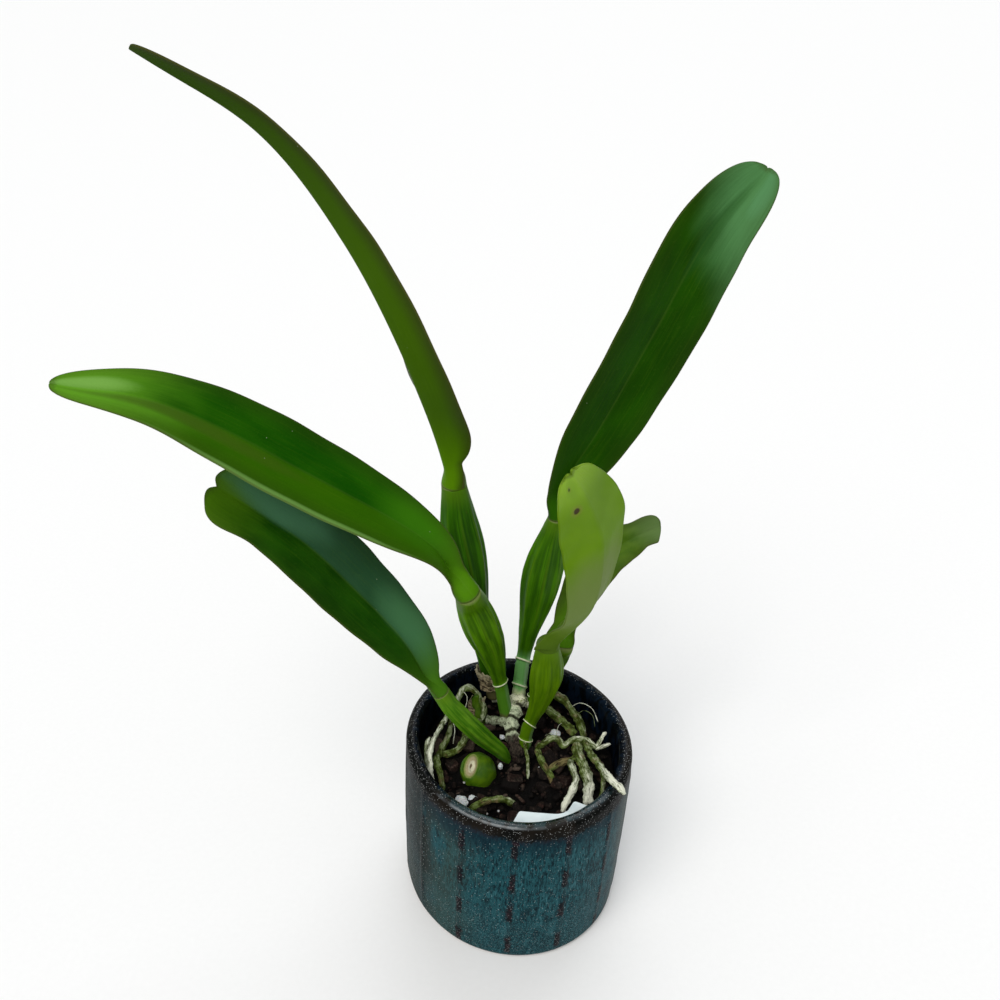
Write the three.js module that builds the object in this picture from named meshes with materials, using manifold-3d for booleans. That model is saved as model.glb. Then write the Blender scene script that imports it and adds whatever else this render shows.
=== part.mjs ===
// Cattleya orchid growing in a glazed cylinder pot.
// Millimetres, +Z up. The origin is the centre of the pot's flat underside, +X to the viewer's
// right and +Y away from the viewer. Each organ of the plant is a closed solid of its own.
import * as THREE from 'three';
import { mergeVertices } from 'three/addons/utils/BufferGeometryUtils.js';
import Module from 'manifold-3d';

const wasm = await Module();
wasm.setup();

// ---------------------------------------------------------------- driving dimensions
const GAP = 0.3; // between pieces that touch
const POT = { height: 108.6, radius: 62.5, wall: 7, floor: 8, belly: 0.7, foot: 3, facets: 40 };
const MIX = { level: 84, relief: 1.1, rings: 5 };
const CHIPS = { count: 46, length: [8, 14], breadth: [6, 9], thickness: [4, 6.5], reach: 48, seed: 41 };
// the label's two directions square to its run: where it lies flat, and at its bent end; its other
// end is cut at a slant
const LABEL = {
  width: 9.5, thickness: 0.8, steps: 14, flat: [0.1, 0.98, 0.17], bent: [-0.8, 0.35, 0.1], slant: 0.5,
};
const BEAD = { facets: 1, flatten: 0.85 };

const LEAF = {
  stations: [0, 0.03, 0.06, 0.12, 0.18, 0.26, 0.35, 0.44, 0.53, 0.62, 0.7, 0.78, 0.85, 0.9, 0.94, 0.97, 0.99, 1],
  columns: 6, // strips across it
  stalk: 0.06, // share of the length that is folded stalk
  stalkWidth: 9.5, // half width of the stalk, unfolded
  stalkFold: 58, // degrees that each side of the stalk is folded up
  unfolded: 0.26, // share of the length by which the blade has opened
  curl: 0.06, // how far the margins turn back, as a share of the half width
  midThickness: 2.2,
  edgeThickness: 0.9,
  wingReach: [0.02, 0.035, 0.09], // where a winged foot begins, is widest and ends
  foot: 0.085, // share of the length over which the round foot becomes a folded blade
  footSpan: 86, // degrees of the foot's ring that each half of a face covers
};

const BULB = { rows: 12, ribs: 8, ribDepth: 0.12, ring: 0.7, ringWidth: 0.012 };
const ROOT = { sides: 6, stepLength: 6, swell: 0.13 };
const SHEATH = { sides: 14, rows: 5, thickness: 0.9, wrinkle: 0.8 };
const RHIZOME = { sides: 10, rows: 18, ringDepth: 0.2, ringCount: 6, knob: 0.12 };

// one row per leaf: its midrib from the joint to the tip, the way its upper face looks, the
// half width, the fold of each half and the roll at foot, middle and tip (degrees), where it is
// widest (under 1 is nearer the foot), how blunt it is, its tip, and the radius of the round foot
// that stands on the pseudobulb, whose middle is one radius above the midrib. A wing is how far the
// right side of the foot stands out (the left side where it is negative), and a skew how far the
// right side of the tip reaches past the middle.
const LEAVES = {
  leaf_1: {
    midrib: [[-42, 44, 241], [-41.5, 43, 252], [-58.5, 31, 313], [-87.5, 37, 373], [-121.5, 33, 421],
      [-167, 23, 452]],
    faces: [0.8, 0.3, 0.5], halfWidth: 21, fold: 25, roll: [17, 12, 6], widest: 0.5, blunt: 0.56,
    tip: 0.17, notch: 0.5, joint: 6.8,
  },
  leaf_2: {
    midrib: [[-33.5, 22, 192], [-38.5, 21, 202], [-50, 14, 226], [-108, 10, 269], [-171, 0, 312],
      [-213.8, -7, 324]],
    faces: [0, -0.5, 0.86], halfWidth: 20.5, fold: 15, roll: [-8, -1, -1], widest: 1.0, blunt: 0.6,
    tip: 0.06, notch: 0.3, joint: 7,
  },
  leaf_3: {
    midrib: [[-48, -5, 144], [-51, -5, 150], [-63, 0, 173], [-89, 8, 202], [-114, 7, 233], [-153, 11, 262]],
    faces: [0, -0.6, 0.8], halfWidth: 21.3, fold: 17, roll: [35, 13, -5], widest: 0.9, blunt: 0.42,
    tip: 0.4, notch: 3, joint: 4.7,
  },
  leaf_4: {
    midrib: [[18, 44, 226], [17.5, 44, 236], [35, 43, 276], [59, 55, 322], [82, 66, 367], [112, 85.3, 395.5]],
    faces: [0, -0.87, 0.5], halfWidth: 23.5, fold: 18, roll: [-8, 28, -20], widest: 1.0, blunt: 0.43,
    tip: 0.1, notch: 1, joint: 4.6,
  },
  leaf_5: {
    midrib: [[18, 8, 159], [18.5, 4, 171], [28, -16, 211], [25, -33, 257], [11, -61, 296], [-3, -91, 328]],
    faces: [0, 0.8, 0.55], halfWidth: 19.6, fold: 16, roll: [37, 42, 45], widest: 1.0, blunt: 0.68,
    tip: 0.12, notch: 2, joint: 6.3, wing: 5,
  },
  leaf_6: {
    midrib: [[29, 34, 143], [29.5, 38, 151], [38, 54, 161], [53, 77, 169], [74, 97, 171], [96, 115, 169]],
    faces: [0, -0.3, 0.95], halfWidth: 14, fold: 16, roll: [-20, -3, 25], widest: 0.9, blunt: 0.6,
    tip: 0.5, notch: 0.5, skew: -6, joint: 5, wing: -6,
  },
};

// one row per pseudobulb: its axis from the rhizome up to the point under its leaf's joint, the
// direction of its broad side, the radius of its stem, how much it swells, how flat it is, the
// share of its length that is bare stem, where it is thickest, and its node rings
const PSEUDOBULBS = {
  pseudobulb_1: {
    axis: [[-10, 41.5, 96], [-14, 43, 113.5], [-19, 44, 137], [-23.7, 44.5, 166.5], [-28.7, 45, 194],
      [-34, 46, 219.5]],
    broad: [1, 0.2, 0], stem: 4.4, swell: 5.7, flat: 0.68, bare: 0.06, peak: 1.8, rings: [], leaf: 'leaf_1',
  },
  pseudobulb_2: {
    axis: [[-3, 30.5, 90], [-7.5, 30, 114], [-10.5, 29, 128], [-15, 26, 147], [-20.5, 24, 163],
      [-26.5, 22.5, 180]],
    broad: [1, 0.25, 0.2], stem: 3.9, swell: 5.3, flat: 0.7, bare: 0.24, peak: 1.15, rings: [0.25],
    leaf: 'leaf_2',
  },
  pseudobulb_3: {
    axis: [[-2, 1.5, 80], [-10, -1, 95.5], [-19.5, -3, 107.5], [-29.5, -5, 121.5], [-39, -6.5, 136]],
    broad: [0.6, 0, 0.8], stem: 2.9, swell: 2.6, flat: 0.85, bare: 0.0, peak: 1.0, rings: [], leaf: 'leaf_3',
  },
  pseudobulb_4: {
    axis: [[5, 42.5, 96], [5.7, 43, 113.5], [6.3, 43, 125], [8, 43, 143.5], [10.8, 43, 162.5], [13.2, 42, 188],
      [15.5, 41.5, 207]],
    broad: [1, 0, 0], stem: 4.1, swell: 7.2, flat: 0.68, bare: 0.24, peak: 1.25, rings: [0.065, 0.21],
    leaf: 'leaf_4',
  },
  pseudobulb_5: {
    axis: [[6.5, 12, 80], [6.5, 12, 95.5], [8.5, 12, 105.5], [12.2, 12, 119], [14.5, 12, 132.5],
      [15, 12, 145]],
    broad: [1, 0.1, 0], stem: 3.6, swell: 4.7, flat: 0.72, bare: 0.28, peak: 1.3, rings: [0.285],
    leaf: 'leaf_5',
  },
  pseudobulb_6: {
    axis: [[12.5, 38, 92], [13.5, 37.5, 101], [17, 36.5, 113.5], [25, 35.5, 130]],
    broad: [1, 0.2, 0], stem: 3.2, swell: 2.8, flat: 0.75, bare: 0.15, peak: 1.0, rings: [0.14],
    leaf: 'leaf_6',
  },
};

// the rhizome creeps from the front of the pot to the back, climbing out of the mix
const RHIZOME_RUN = [[1, -1, 76], [1, 5, 82.5], [0, 13, 87], [-1, 23, 91], [2, 32, 95], [5.5, 41, 97.5]];
const RHIZOME_SHOOTS = [
  { run: [[-1, 24, 91], [-8, 26, 90.5], [-15, 28.5, 89]], radius: 2.6 }, // to the small old bulb
  { run: [[2, 33, 95], [-4, 38, 96], [-10, 41, 95.5]], radius: 3.4 }, // to the tall left bulb
  { run: [[4, 37, 96], [8, 38, 94.5], [13, 38, 92]], radius: 3.2 }, // to the back right bulb
];
const RHIZOME_RADIUS = 4.3;

// roots: each is a run of points, with its radius; those of a bunch grow together
const ROOT_BUNCHES = {
  roots_right_back: [
    { run: [[13, 33, 95], [17, 40, 96], [25, 43, 97], [28, 39, 98], [32, 36, 97], [35.5, 30, 95],
      [39.5, 24, 91], [41, 18, 84], [41, 16, 78]], radius: 2.5 },
    { run: [[13, 33, 95], [19.5, 29, 97.5], [24.5, 24.5, 97], [29.5, 21.5, 94], [33, 19, 91], [38, 17.5, 84]],
      radius: 2.6 },
  ],
  roots_right_front: [
    { run: [[12, 6, 90], [16, 5, 95], [20, 6.5, 97], [24, 7, 95.5], [27, 4, 94], [31, 5.5, 96], [38, 5, 97.5],
      [42.5, 1, 97.5], [45, -2, 97]], radius: 1.9 },
    { run: [[44, -1, 97], [47, 2.5, 99], [49, 5, 101], [51, 6.5, 102]], radius: 1.1 },
    { run: [[44, -2, 97], [49, 0, 98], [52.5, 0.5, 99]], radius: 1.2 },
    { run: [[34, 5, 96], [34, -7, 97], [35.5, -16, 96], [37, -22.5, 93], [36.5, -27, 88], [36, -30, 82]],
      radius: 3 },
    { run: [[29, -6, 93], [29, -14, 96], [29.5, -23, 96.5], [26.5, -28.5, 94], [23, -33, 90.5],
      [21, -36, 87.5]],
      radius: 1.9 },
    { run: [[38, 5, 97.5], [40, -13, 103], [42.5, -26, 108], [45, -36, 111.8], [48, -41.5, 112.4],
      [50, -44.5, 111.4]],
      radius: 2 },
    { run: [[40.5, -16, 104], [44, -21, 100], [44, -25.5, 93], [43, -27.5, 82]], radius: 1.3 },
    { run: [[12, 6, 90], [13.5, -5, 91], [17, -11, 89], [20.5, -15.5, 83]], radius: 2 },
    { run: [[17, -10, 89.5], [22.5, -7.5, 92], [29, -6, 93], [34.5, -6, 96]], radius: 2 },
  ],
  roots_left: [
    { run: [[-18, 25.5, 91], [-17, 31, 97], [-21.5, 37, 103], [-28, 39, 104], [-32, 34, 101], [-36, 23.5, 97],
      [-38.5, 12.5, 93], [-43.5, 2.5, 90], [-45.5, -6, 92], [-43.5, -14, 89], [-42, -19, 82]], radius: 1.9 },
    { run: [[-20.5, 35.5, 102.5], [-25, 41, 104], [-30.5, 38, 102.5], [-36, 28.5, 100.5], [-41, 20, 101],
      [-45, 11.5, 103], [-49, -1.5, 104], [-50, -11, 103], [-49.5, -18, 98], [-48, -21.5, 92]], radius: 1.7 },
    { run: [[-18, 25.5, 91], [-25, 20, 93], [-29, 10.5, 93], [-32.5, 4, 91.5], [-38.5, 2, 89.5],
      [-43.5, 2.5, 89]],
      radius: 2 },
    { run: [[-45.5, 11.5, 103], [-50, 5, 101.5], [-51.5, -3, 98], [-51, -8, 91], [-50, -11, 82]],
      radius: 1.5 },
  ],
  root_front: [
    { run: [[-31, -36.5, 80], [-28.5, -35, 86], [-22.5, -32.3, 89.6], [-16, -30.5, 90.4], [-10, -29.5, 89.6],
      [-5, -29, 86], [-2.5, -29, 80]], radius: 1.9 },
  ],
};

const SHEATH_RUN = [[-11.5, 42.4, 103.5], [-13, 43, 110.5], [-14.5, 43.3, 118]];
const SHEATH_RADIUS = 5.5;

// old pseudobulbs: one cut off level, one small and shrivelled
const STUB = {
  run: [[-19.5, -4, 78], [-21.6, -5.6, 85.5], [-25.6, -7.9, 92.2]],
  cut: [-0.68, -0.28, 0.68], // the way the cut looks
  radius: 10.6, flat: 0.95, sides: 20,
};
const SMALL_BULB = { run: [[-18, 27, 84], [-20.5, 31.5, 91], [-21.5, 34, 98], [-21, 34, 103]], radius: 4.4 };

const BEADS = [
  { at: [-26.5, -28.5, 88], radius: 2.4 },
  { at: [-32.8, -32.4, 91], radius: 3.6 },
  { at: [-9.2, -4.6, 86.8], radius: 1.7 },
  { at: [24.3, 16.5, 90], radius: 3 },
  { at: [-6.8, 15.8, 88], radius: 1.6 },
];

const LABEL_RUN = [
  [-4.8, -41.4, 88.6], [10, -42.8, 88.4], [19.5, -43.4, 88.8], [25.6, -42.4, 91.2], [31.2, -39.8, 97.6],
];

const COLOURS = {
  glaze: 0x24505a,
  mix: 0x33201a,
  label: 0xe8eef2,
  bead: 0xd9d9d2,
  rhizome: 0x8a8a63,
  bulb: 0x4b7a1c,
  oldBulb: 0x3c6a1e,
  leaf: 0x2c6a12,
  root: 0x9a9a70,
  papery: 0x8c7355,
};

// ---------------------------------------------------------------- small tools
const vector = (p) => new THREE.Vector3(...p);
const smooth = (from, to, x) => THREE.MathUtils.smoothstep(x, from, to);
const radians = THREE.MathUtils.degToRad;
const curveThrough = (points) => new THREE.CatmullRomCurve3(points.map(vector), false, 'centripetal');

function randomFrom(seed) {
  let state = seed;
  return () => {
    state = (state * 1664525 + 1013904223) % 4294967296;
    return state / 4294967296;
  };
}

function geometryOf(points, triangles) {
  const geometry = new THREE.BufferGeometry();
  geometry.setAttribute('position', new THREE.Float32BufferAttribute(points.flatMap((p) => p.toArray()), 3));
  geometry.setIndex(triangles.flat());
  return geometry;
}

function toManifold(geometry) {
  const bare = geometry.clone();
  bare.deleteAttribute('normal');
  bare.deleteAttribute('uv');
  const merged = mergeVertices(bare, 1e-5);
  return new wasm.Manifold(new wasm.Mesh({
    numProp: 3,
    vertProperties: new Float32Array(merged.attributes.position.array),
    triVerts: new Uint32Array(merged.index.array),
  }));
}

// the largest body of a solid, without the scraps that a cut leaves
function largestBody(solid) {
  return solid.decompose().reduce((best, body) => (body.volume() > best.volume() ? body : best));
}

function toGeometry(solid) {
  const mesh = largestBody(solid).getMesh();
  const geometry = new THREE.BufferGeometry();
  geometry.setAttribute('position', new THREE.Float32BufferAttribute(mesh.vertProperties, 3));
  geometry.setIndex(Array.from(mesh.triVerts));
  return geometry;
}

// a closed skin over rings of points, each ring counter-clockwise about the way the rings run
function skin(rings) {
  const count = rings[0].length;
  const points = rings.flat();
  const triangles = [];
  for (let row = 0; row + 1 < rings.length; row += 1) {
    for (let k = 0; k < count; k += 1) {
      const next = (k + 1) % count;
      const [a, b] = [row * count + k, row * count + next];
      triangles.push([a, b, b + count], [a, b + count, a + count]);
    }
  }
  for (const [row, towards] of [[0, 1], [rings.length - 1, -1]]) {
    const centre = new THREE.Vector3();
    rings[row].forEach((p) => centre.addScaledVector(p, 1 / count));
    points.push(centre);
    for (let k = 0; k < count; k += 1) {
      const pair = [row * count + k, row * count + ((k + 1) % count)];
      triangles.push(towards > 0 ? [points.length - 1, pair[1], pair[0]] : [points.length - 1, ...pair]);
    }
  }
  return geometryOf(points, triangles);
}

// the direction `towards`, made square to a tangent
function squareTo(tangent, towards) {
  return towards.clone().addScaledVector(tangent, -towards.dot(tangent)).normalize();
}

// rings of an ellipse carried along a curve; radiusAt(s, angle) gives the broad radius, flatAt(s)
// the thin side's share of it, and endTangent the way that the last ring faces
function ringsAlong(curve, stations, sides, broad, radiusAt, flatAt, endTangent = null) {
  return stations.map((s) => {
    const centre = curve.getPointAt(s);
    const tangent = s === 1 && endTangent ? endTangent : curve.getTangentAt(s);
    const across = squareTo(tangent, broad);
    const through = tangent.clone().cross(across);
    return Array.from({ length: sides }, (_, k) => {
      const angle = (2 * Math.PI * k) / sides;
      const radius = radiusAt(s, angle);
      return centre.clone()
        .addScaledVector(across, radius * Math.cos(angle))
        .addScaledVector(through, radius * flatAt(s) * Math.sin(angle));
    });
  });
}

// the rings of a socket also stand `extra` past both ends of the piece that it holds
function lengthened(rings, curve, extra) {
  if (extra === 0) return rings;
  const moved = (ring, s, way) => ring
    .map((p) => p.clone().addScaledVector(curve.getTangentAt(s), way * extra));
  return [moved(rings[0], 0, -1), ...rings, moved(rings[rings.length - 1], 1, 1)];
}

const evenly = (count) => Array.from({ length: count + 1 }, (_, i) => i / count);

// ---------------------------------------------------------------- pot
function potGeometry() {
  const { height, radius, wall, floor, belly, foot, facets } = POT;
  const lip = wall / 2;
  const profile = [new THREE.Vector2(0, 0), new THREE.Vector2(radius - foot, 0)];
  for (const share of [0.05, 0.3, 0.55, 0.8]) {
    profile.push(new THREE.Vector2(radius + belly * Math.sin(Math.PI * share), height * share));
  }
  for (const turn of [0, 45, 90, 135, 180]) {
    profile.push(new THREE.Vector2(
      radius - lip + lip * Math.cos(radians(turn)),
      height - lip + lip * Math.sin(radians(turn)),
    ));
  }
  profile.push(new THREE.Vector2(radius - wall, floor), new THREE.Vector2(0, floor));
  const geometry = new THREE.LatheGeometry(profile, facets);
  return geometry.rotateX(Math.PI / 2);
}

// ---------------------------------------------------------------- leaves
// A leaf is a strip carried along its midrib. Its half width swells as a power of a sine, its two
// halves are folded up into a V that is steep in the stalk and opens in the blade, its margins
// turn back a little, and at its tip two lobes stand out past the midrib. Its foot is round.
function leafHalfWidth(leaf, s) {
  const u = THREE.MathUtils.clamp((s - LEAF.stalk) / (1 - LEAF.stalk), 1e-6, 1 - 1e-6);
  const swollen = Math.sin(Math.PI * u ** leaf.widest) ** leaf.blunt;
  const blade = leaf.halfWidth * (swollen + leaf.tip * smooth(0.8, 1, u));
  const stalk = LEAF.stalkWidth * (1 - smooth(0.1, 0.5, s));
  return (blade ** 4 + stalk ** 4) ** 0.25;
}

function leafFrame(leaf, curve, s) {
  const centre = curve.getPointAt(s);
  const tangent = curve.getTangentAt(s);
  const [foot, middle, tip] = leaf.roll;
  const turn = radians(foot * (1 - s) * (1 - 2 * s) + middle * 4 * s * (1 - s) + tip * s * (2 * s - 1));
  const up = squareTo(tangent, vector(leaf.faces));
  const across = tangent.clone().cross(up);
  const normal = up.clone().multiplyScalar(Math.cos(turn)).addScaledVector(across, Math.sin(turn));
  const side = across.multiplyScalar(Math.cos(turn)).addScaledVector(up, -Math.sin(turn));
  return { centre, tangent, normal, side };
}

function leafGeometry(leaf) {
  const curve = curveThrough(leaf.midrib);
  const columns = evenly(LEAF.columns).map((x) => 2 * x - 1);
  const upper = [];
  const lower = [];
  for (const s of LEAF.stations) {
    const { centre, tangent, normal, side } = leafFrame(leaf, curve, s);
    const width = leafHalfWidth(leaf, s);
    const opened = smooth(0, LEAF.unfolded, s);
    const fold = radians(LEAF.stalkFold + (leaf.fold - LEAF.stalkFold) * opened);
    for (const v of columns) {
      const rise = width * (Math.sqrt(v * v + 0.01) - 0.1) * Math.sin(fold) - LEAF.curl * width * v ** 4;
      const lobe = (leaf.notch * Math.abs(Math.sin(Math.PI * v)) + (leaf.skew ?? 0) * v) * smooth(0.88, 1, s);
      const top = centre.clone()
        .addScaledVector(side, width * v * Math.cos(fold))
        .addScaledVector(normal, rise)
        .addScaledVector(tangent, lobe);
      const lean = fold * v / Math.sqrt(v * v + 0.05);
      const out = normal.clone().multiplyScalar(Math.cos(lean)).addScaledVector(side, -Math.sin(lean));
      const half = (LEAF.edgeThickness + (1 - Math.abs(v) ** 1.5) * (LEAF.midThickness - LEAF.edgeThickness)
        * (1 - smooth(0.8, 1, s))) / 2;
      for (const [face, way] of [[upper, 1], [lower, -1]]) {
        const blade = top.clone().addScaledVector(out, way * half);
        const turn = radians(LEAF.footSpan * v);
        const round = centre.clone()
          .addScaledVector(side, leaf.joint * Math.sin(turn))
          .addScaledVector(normal, leaf.joint * (1 + way * Math.cos(turn)));
        const [begins, widest, ends] = LEAF.wingReach;
        const wing = (leaf.wing ?? 0) * smooth(begins, widest, s) * (1 - smooth(widest, ends, s));
        const winged = Math.max(0, Math.sign(wing) * v) ** 2;
        face.push(blade.lerp(round, 1 - smooth(0, LEAF.foot, s)).addScaledVector(side, wing * winged));
      }
    }
  }
  const [wide, rows] = [columns.length, LEAF.stations.length];
  const half = upper.length;
  const triangles = [];
  for (let row = 0; row + 1 < rows; row += 1) {
    for (let k = 0; k + 1 < wide; k += 1) {
      const a = row * wide + k;
      const b = half + a;
      triangles.push([a, a + 1, a + wide + 1], [a, a + wide + 1, a + wide]);
      triangles.push([b, b + wide + 1, b + 1], [b, b + wide, b + wide + 1]);
    }
  }
  const rim = [];
  for (let k = 0; k < wide; k += 1) rim.push(k);
  for (let row = 1; row < rows; row += 1) rim.push(row * wide + wide - 1);
  for (let k = wide - 2; k >= 0; k -= 1) rim.push((rows - 1) * wide + k);
  for (let row = rows - 2; row > 0; row -= 1) rim.push(row * wide);
  rim.forEach((a, i) => {
    const b = rim[(i + 1) % rim.length];
    triangles.push([a, half + a, half + b], [a, half + b, b]);
  });
  return geometryOf([...upper, ...lower], triangles);
}

// ---------------------------------------------------------------- pseudobulbs
// A pseudobulb is a thin stem that swells into a flattened club with lengthwise ribs, narrows
// again to the joint under its leaf, and carries a raised ring at each node.
function bulbJoint(bulb) {
  const leaf = LEAVES[bulb.leaf];
  const { centre, tangent, normal } = leafFrame(leaf, curveThrough(leaf.midrib), 0);
  const joint = centre.addScaledVector(normal, leaf.joint).addScaledVector(tangent, -GAP);
  return { joint, tangent };
}

function bulbRadius(bulb, s, angle) {
  const u = THREE.MathUtils.clamp((s - bulb.bare) / (1 - bulb.bare), 0, 1);
  const swollen = Math.sin(Math.PI * u ** bulb.peak) ** 1.3;
  const slim = THREE.MathUtils.lerp(bulb.stem, LEAVES[bulb.leaf].joint, smooth(0.3, 1, u));
  const ring = bulb.rings.reduce((sum, at) => sum + Math.exp(-(((s - at) / BULB.ringWidth) ** 2)), 0);
  const rib = 1 - BULB.ribDepth * swollen * (0.5 - 0.5 * Math.cos(BULB.ribs * angle));
  return (slim + bulb.swell * swollen) * rib + BULB.ring * ring;
}

function bulbGeometry(bulb, extra = 0) {
  const { joint, tangent } = bulbJoint(bulb);
  const curve = curveThrough([...bulb.axis, joint.toArray()]);
  const besideRings = bulb.rings.flatMap((at) => [at - 0.02, at, at + 0.02]);
  const stations = [...evenly(BULB.rows), ...besideRings].sort((a, b) => a - b)
    .filter((s, i, all) => i === 0 || s - all[i - 1] > 0.012);
  const flatAt = (s) => 1 - (1 - bulb.flat) * smooth(bulb.bare, bulb.bare + 0.3, s) * (1 - smooth(0.85, 1, s));
  const radiusAt = (s, angle) => bulbRadius(bulb, s, angle) + extra;
  const rings = ringsAlong(curve, stations, 2 * BULB.ribs, vector(bulb.broad), radiusAt, flatAt, tangent);
  return skin(lengthened(rings, curve, extra));
}

// ---------------------------------------------------------------- roots, rhizome, sheath
function tubeGeometry(run, radius, sides, extra = 0, radiusFactor = () => 1) {
  const curve = curveThrough(run);
  const steps = Math.max(3, Math.round(curve.getLength() / ROOT.stepLength));
  const tapered = (s) => (s === 0 || s === 1 ? 0.6 : 1);
  const radiusAt = (s, angle) => radius * radiusFactor(s, angle) * tapered(s) + extra;
  const rings = ringsAlong(curve, evenly(steps), sides, new THREE.Vector3(0.31, 0.23, 1), radiusAt, () => 1);
  return skin(lengthened(rings, curve, extra));
}

function bunch(roots, extra = 0) {
  return roots.map(({ run, radius }, index) => {
    const waver = (s) => 1 + ROOT.swell * Math.sin(9 * s + 2.1 * index) * Math.cos(23 * s + index);
    return toManifold(tubeGeometry(run, radius, ROOT.sides, extra, waver));
  }).reduce((whole, root) => whole.add(root));
}

function rhizome(extra = 0) {
  const { sides, rows, ringDepth, ringCount, knob } = RHIZOME;
  const radiusAt = (s, angle) => extra + RHIZOME_RADIUS * (1 + knob * Math.sin(3 * angle + 11 * s)
    - ringDepth * (0.5 + 0.5 * Math.cos(2 * Math.PI * ringCount * s)) - 0.35 * (s === 1));
  const curve = curveThrough(RHIZOME_RUN);
  const rings = ringsAlong(curve, evenly(rows), sides, new THREE.Vector3(1, 0, 0), radiusAt, () => 1);
  const main = skin(lengthened(rings, curve, extra));
  const shoots = RHIZOME_SHOOTS.map(({ run, radius }) => toManifold(
    tubeGeometry(run, radius, 10, extra, (s) => 1 + ringDepth * Math.cos(18 * s)),
  ));
  return shoots.reduce((whole, shoot) => whole.add(shoot), toManifold(main));
}

// a dry, creased tube of leaf base, open at both ends, that clasps the foot of the tall bulb
function sheathGeometry() {
  const curve = curveThrough(SHEATH_RUN);
  const broad = new THREE.Vector3(1, 0.2, 0);
  const crease = (s, angle) => SHEATH.wrinkle * Math.sin(5 * angle + 4 * s) * Math.cos(3 * angle - 6 * s)
    + 0.8 * s * Math.cos(angle + 1);
  const wall = (thickness) => ringsAlong(curve, evenly(SHEATH.rows), SHEATH.sides, broad,
    (s, angle) => SHEATH_RADIUS + 1.4 * s + thickness + crease(s, angle), () => 0.95);
  const outer = wall(SHEATH.thickness);
  const inner = wall(0);
  const rings = [...outer, ...inner.reverse()];
  const count = SHEATH.sides;
  const triangles = [];
  for (let row = 0; row < rings.length; row += 1) {
    const below = row * count;
    const above = ((row + 1) % rings.length) * count;
    for (let k = 0; k < count; k += 1) {
      const next = (k + 1) % count;
      triangles.push([below + k, below + next, above + next], [below + k, above + next, above + k]);
    }
  }
  return geometryOf(rings.flat(), triangles);
}

// ---------------------------------------------------------------- old pseudobulbs
function stub(extra = 0) {
  const { run, cut, radius, flat, sides } = STUB;
  const shape = (s) => Math.sqrt(1 - ((s - 0.45) / 0.72) ** 2);
  const curve = curveThrough(run);
  const stations = [0, 0.15, 0.3, 0.45, 0.6, 0.75, 0.88, 1];
  const rings = ringsAlong(curve, stations, sides, new THREE.Vector3(0.3, 0.9, 0.3),
    (s) => radius * shape(s) + extra, () => flat, vector(cut));
  return skin(lengthened(rings, curve, extra));
}

function smallBulb(extra = 0) {
  const shape = (s, angle) => (0.25 + 0.75 * Math.sin(Math.PI * (0.2 + 0.75 * s)))
    * (1 - 0.14 * (0.5 - 0.5 * Math.cos(6 * angle)));
  const curve = curveThrough(SMALL_BULB.run);
  const rings = ringsAlong(curve, evenly(6), 12, new THREE.Vector3(1, 0, 0),
    (s, angle) => SMALL_BULB.radius * shape(s, angle) + extra, () => 0.8);
  return skin(lengthened(rings, curve, extra));
}

// ---------------------------------------------------------------- beads, label, mix
function beadGeometry({ at, radius }, index, extra = 0) {
  const geometry = new THREE.IcosahedronGeometry(1, BEAD.facets);
  const place = geometry.attributes.position;
  for (let i = 0; i < place.count; i += 1) {
    const p = new THREE.Vector3().fromBufferAttribute(place, i);
    const lump = 1 + 0.09 * Math.sin(4 * p.x + index) * Math.cos(5 * p.y - index) + 0.05 * Math.sin(7 * p.z);
    p.multiplyScalar(radius * lump + extra);
    place.setXYZ(i, p.x + at[0], p.y + at[1], p.z * BEAD.flatten + at[2]);
  }
  return geometry;
}

function labelGeometry(extra = 0) {
  const curve = curveThrough(LABEL_RUN);
  const rings = evenly(LABEL.steps).map((s) => {
    const centre = curve.getPointAt(s);
    const tangent = curve.getTangentAt(s);
    const inward = squareTo(tangent, vector(LABEL.flat).lerp(vector(LABEL.bent), smooth(0.5, 1, s)));
    const normal = tangent.clone().cross(inward);
    const [w, t] = [LABEL.width / 2 + extra, LABEL.thickness / 2 + extra];
    const slant = LABEL.slant * (1 - smooth(0, 0.3, s)) * w;
    return [[1, 1], [-1, 1], [-1, -1], [1, -1]].map(([i, j]) => centre.clone()
      .addScaledVector(inward, i * w).addScaledVector(normal, j * t).addScaledVector(tangent, i * slant));
  });
  return skin(lengthened(rings, curve, extra));
}

function mixBody() {
  const outer = POT.radius - POT.wall - GAP;
  const { level, relief, rings } = MIX;
  const { facets } = POT;
  const bottom = POT.floor + GAP;
  const points = [];
  const ring = (radius, height) => {
    for (let k = 0; k < facets; k += 1) {
      const angle = (2 * Math.PI * k) / facets;
      const [x, y] = [radius * Math.cos(angle), radius * Math.sin(angle)];
      points.push(new THREE.Vector3(x, y, height + (height < level ? 0
        : relief * Math.sin(0.17 * x + 1) * Math.cos(0.21 * y) + relief * Math.sin(0.4 * x - 0.33 * y))));
    }
  };
  ring(outer, bottom);
  for (let i = rings; i > 0; i -= 1) ring((outer * i) / rings, level);
  const triangles = [];
  for (let row = 0; row < rings; row += 1) {
    for (let k = 0; k < facets; k += 1) {
      const [a, b] = [row * facets + k, row * facets + ((k + 1) % facets)];
      triangles.push([a, b, b + facets], [a, b + facets, a + facets]);
    }
  }
  const [low, high] = [points.length, points.length + 1];
  points.push(new THREE.Vector3(0, 0, bottom), new THREE.Vector3(0, 0, level + 1));
  for (let k = 0; k < facets; k += 1) {
    const next = (k + 1) % facets;
    triangles.push([low, next, k], [high, rings * facets + k, rings * facets + next]);
  }
  return toManifold(geometryOf(points, triangles));
}

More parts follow.
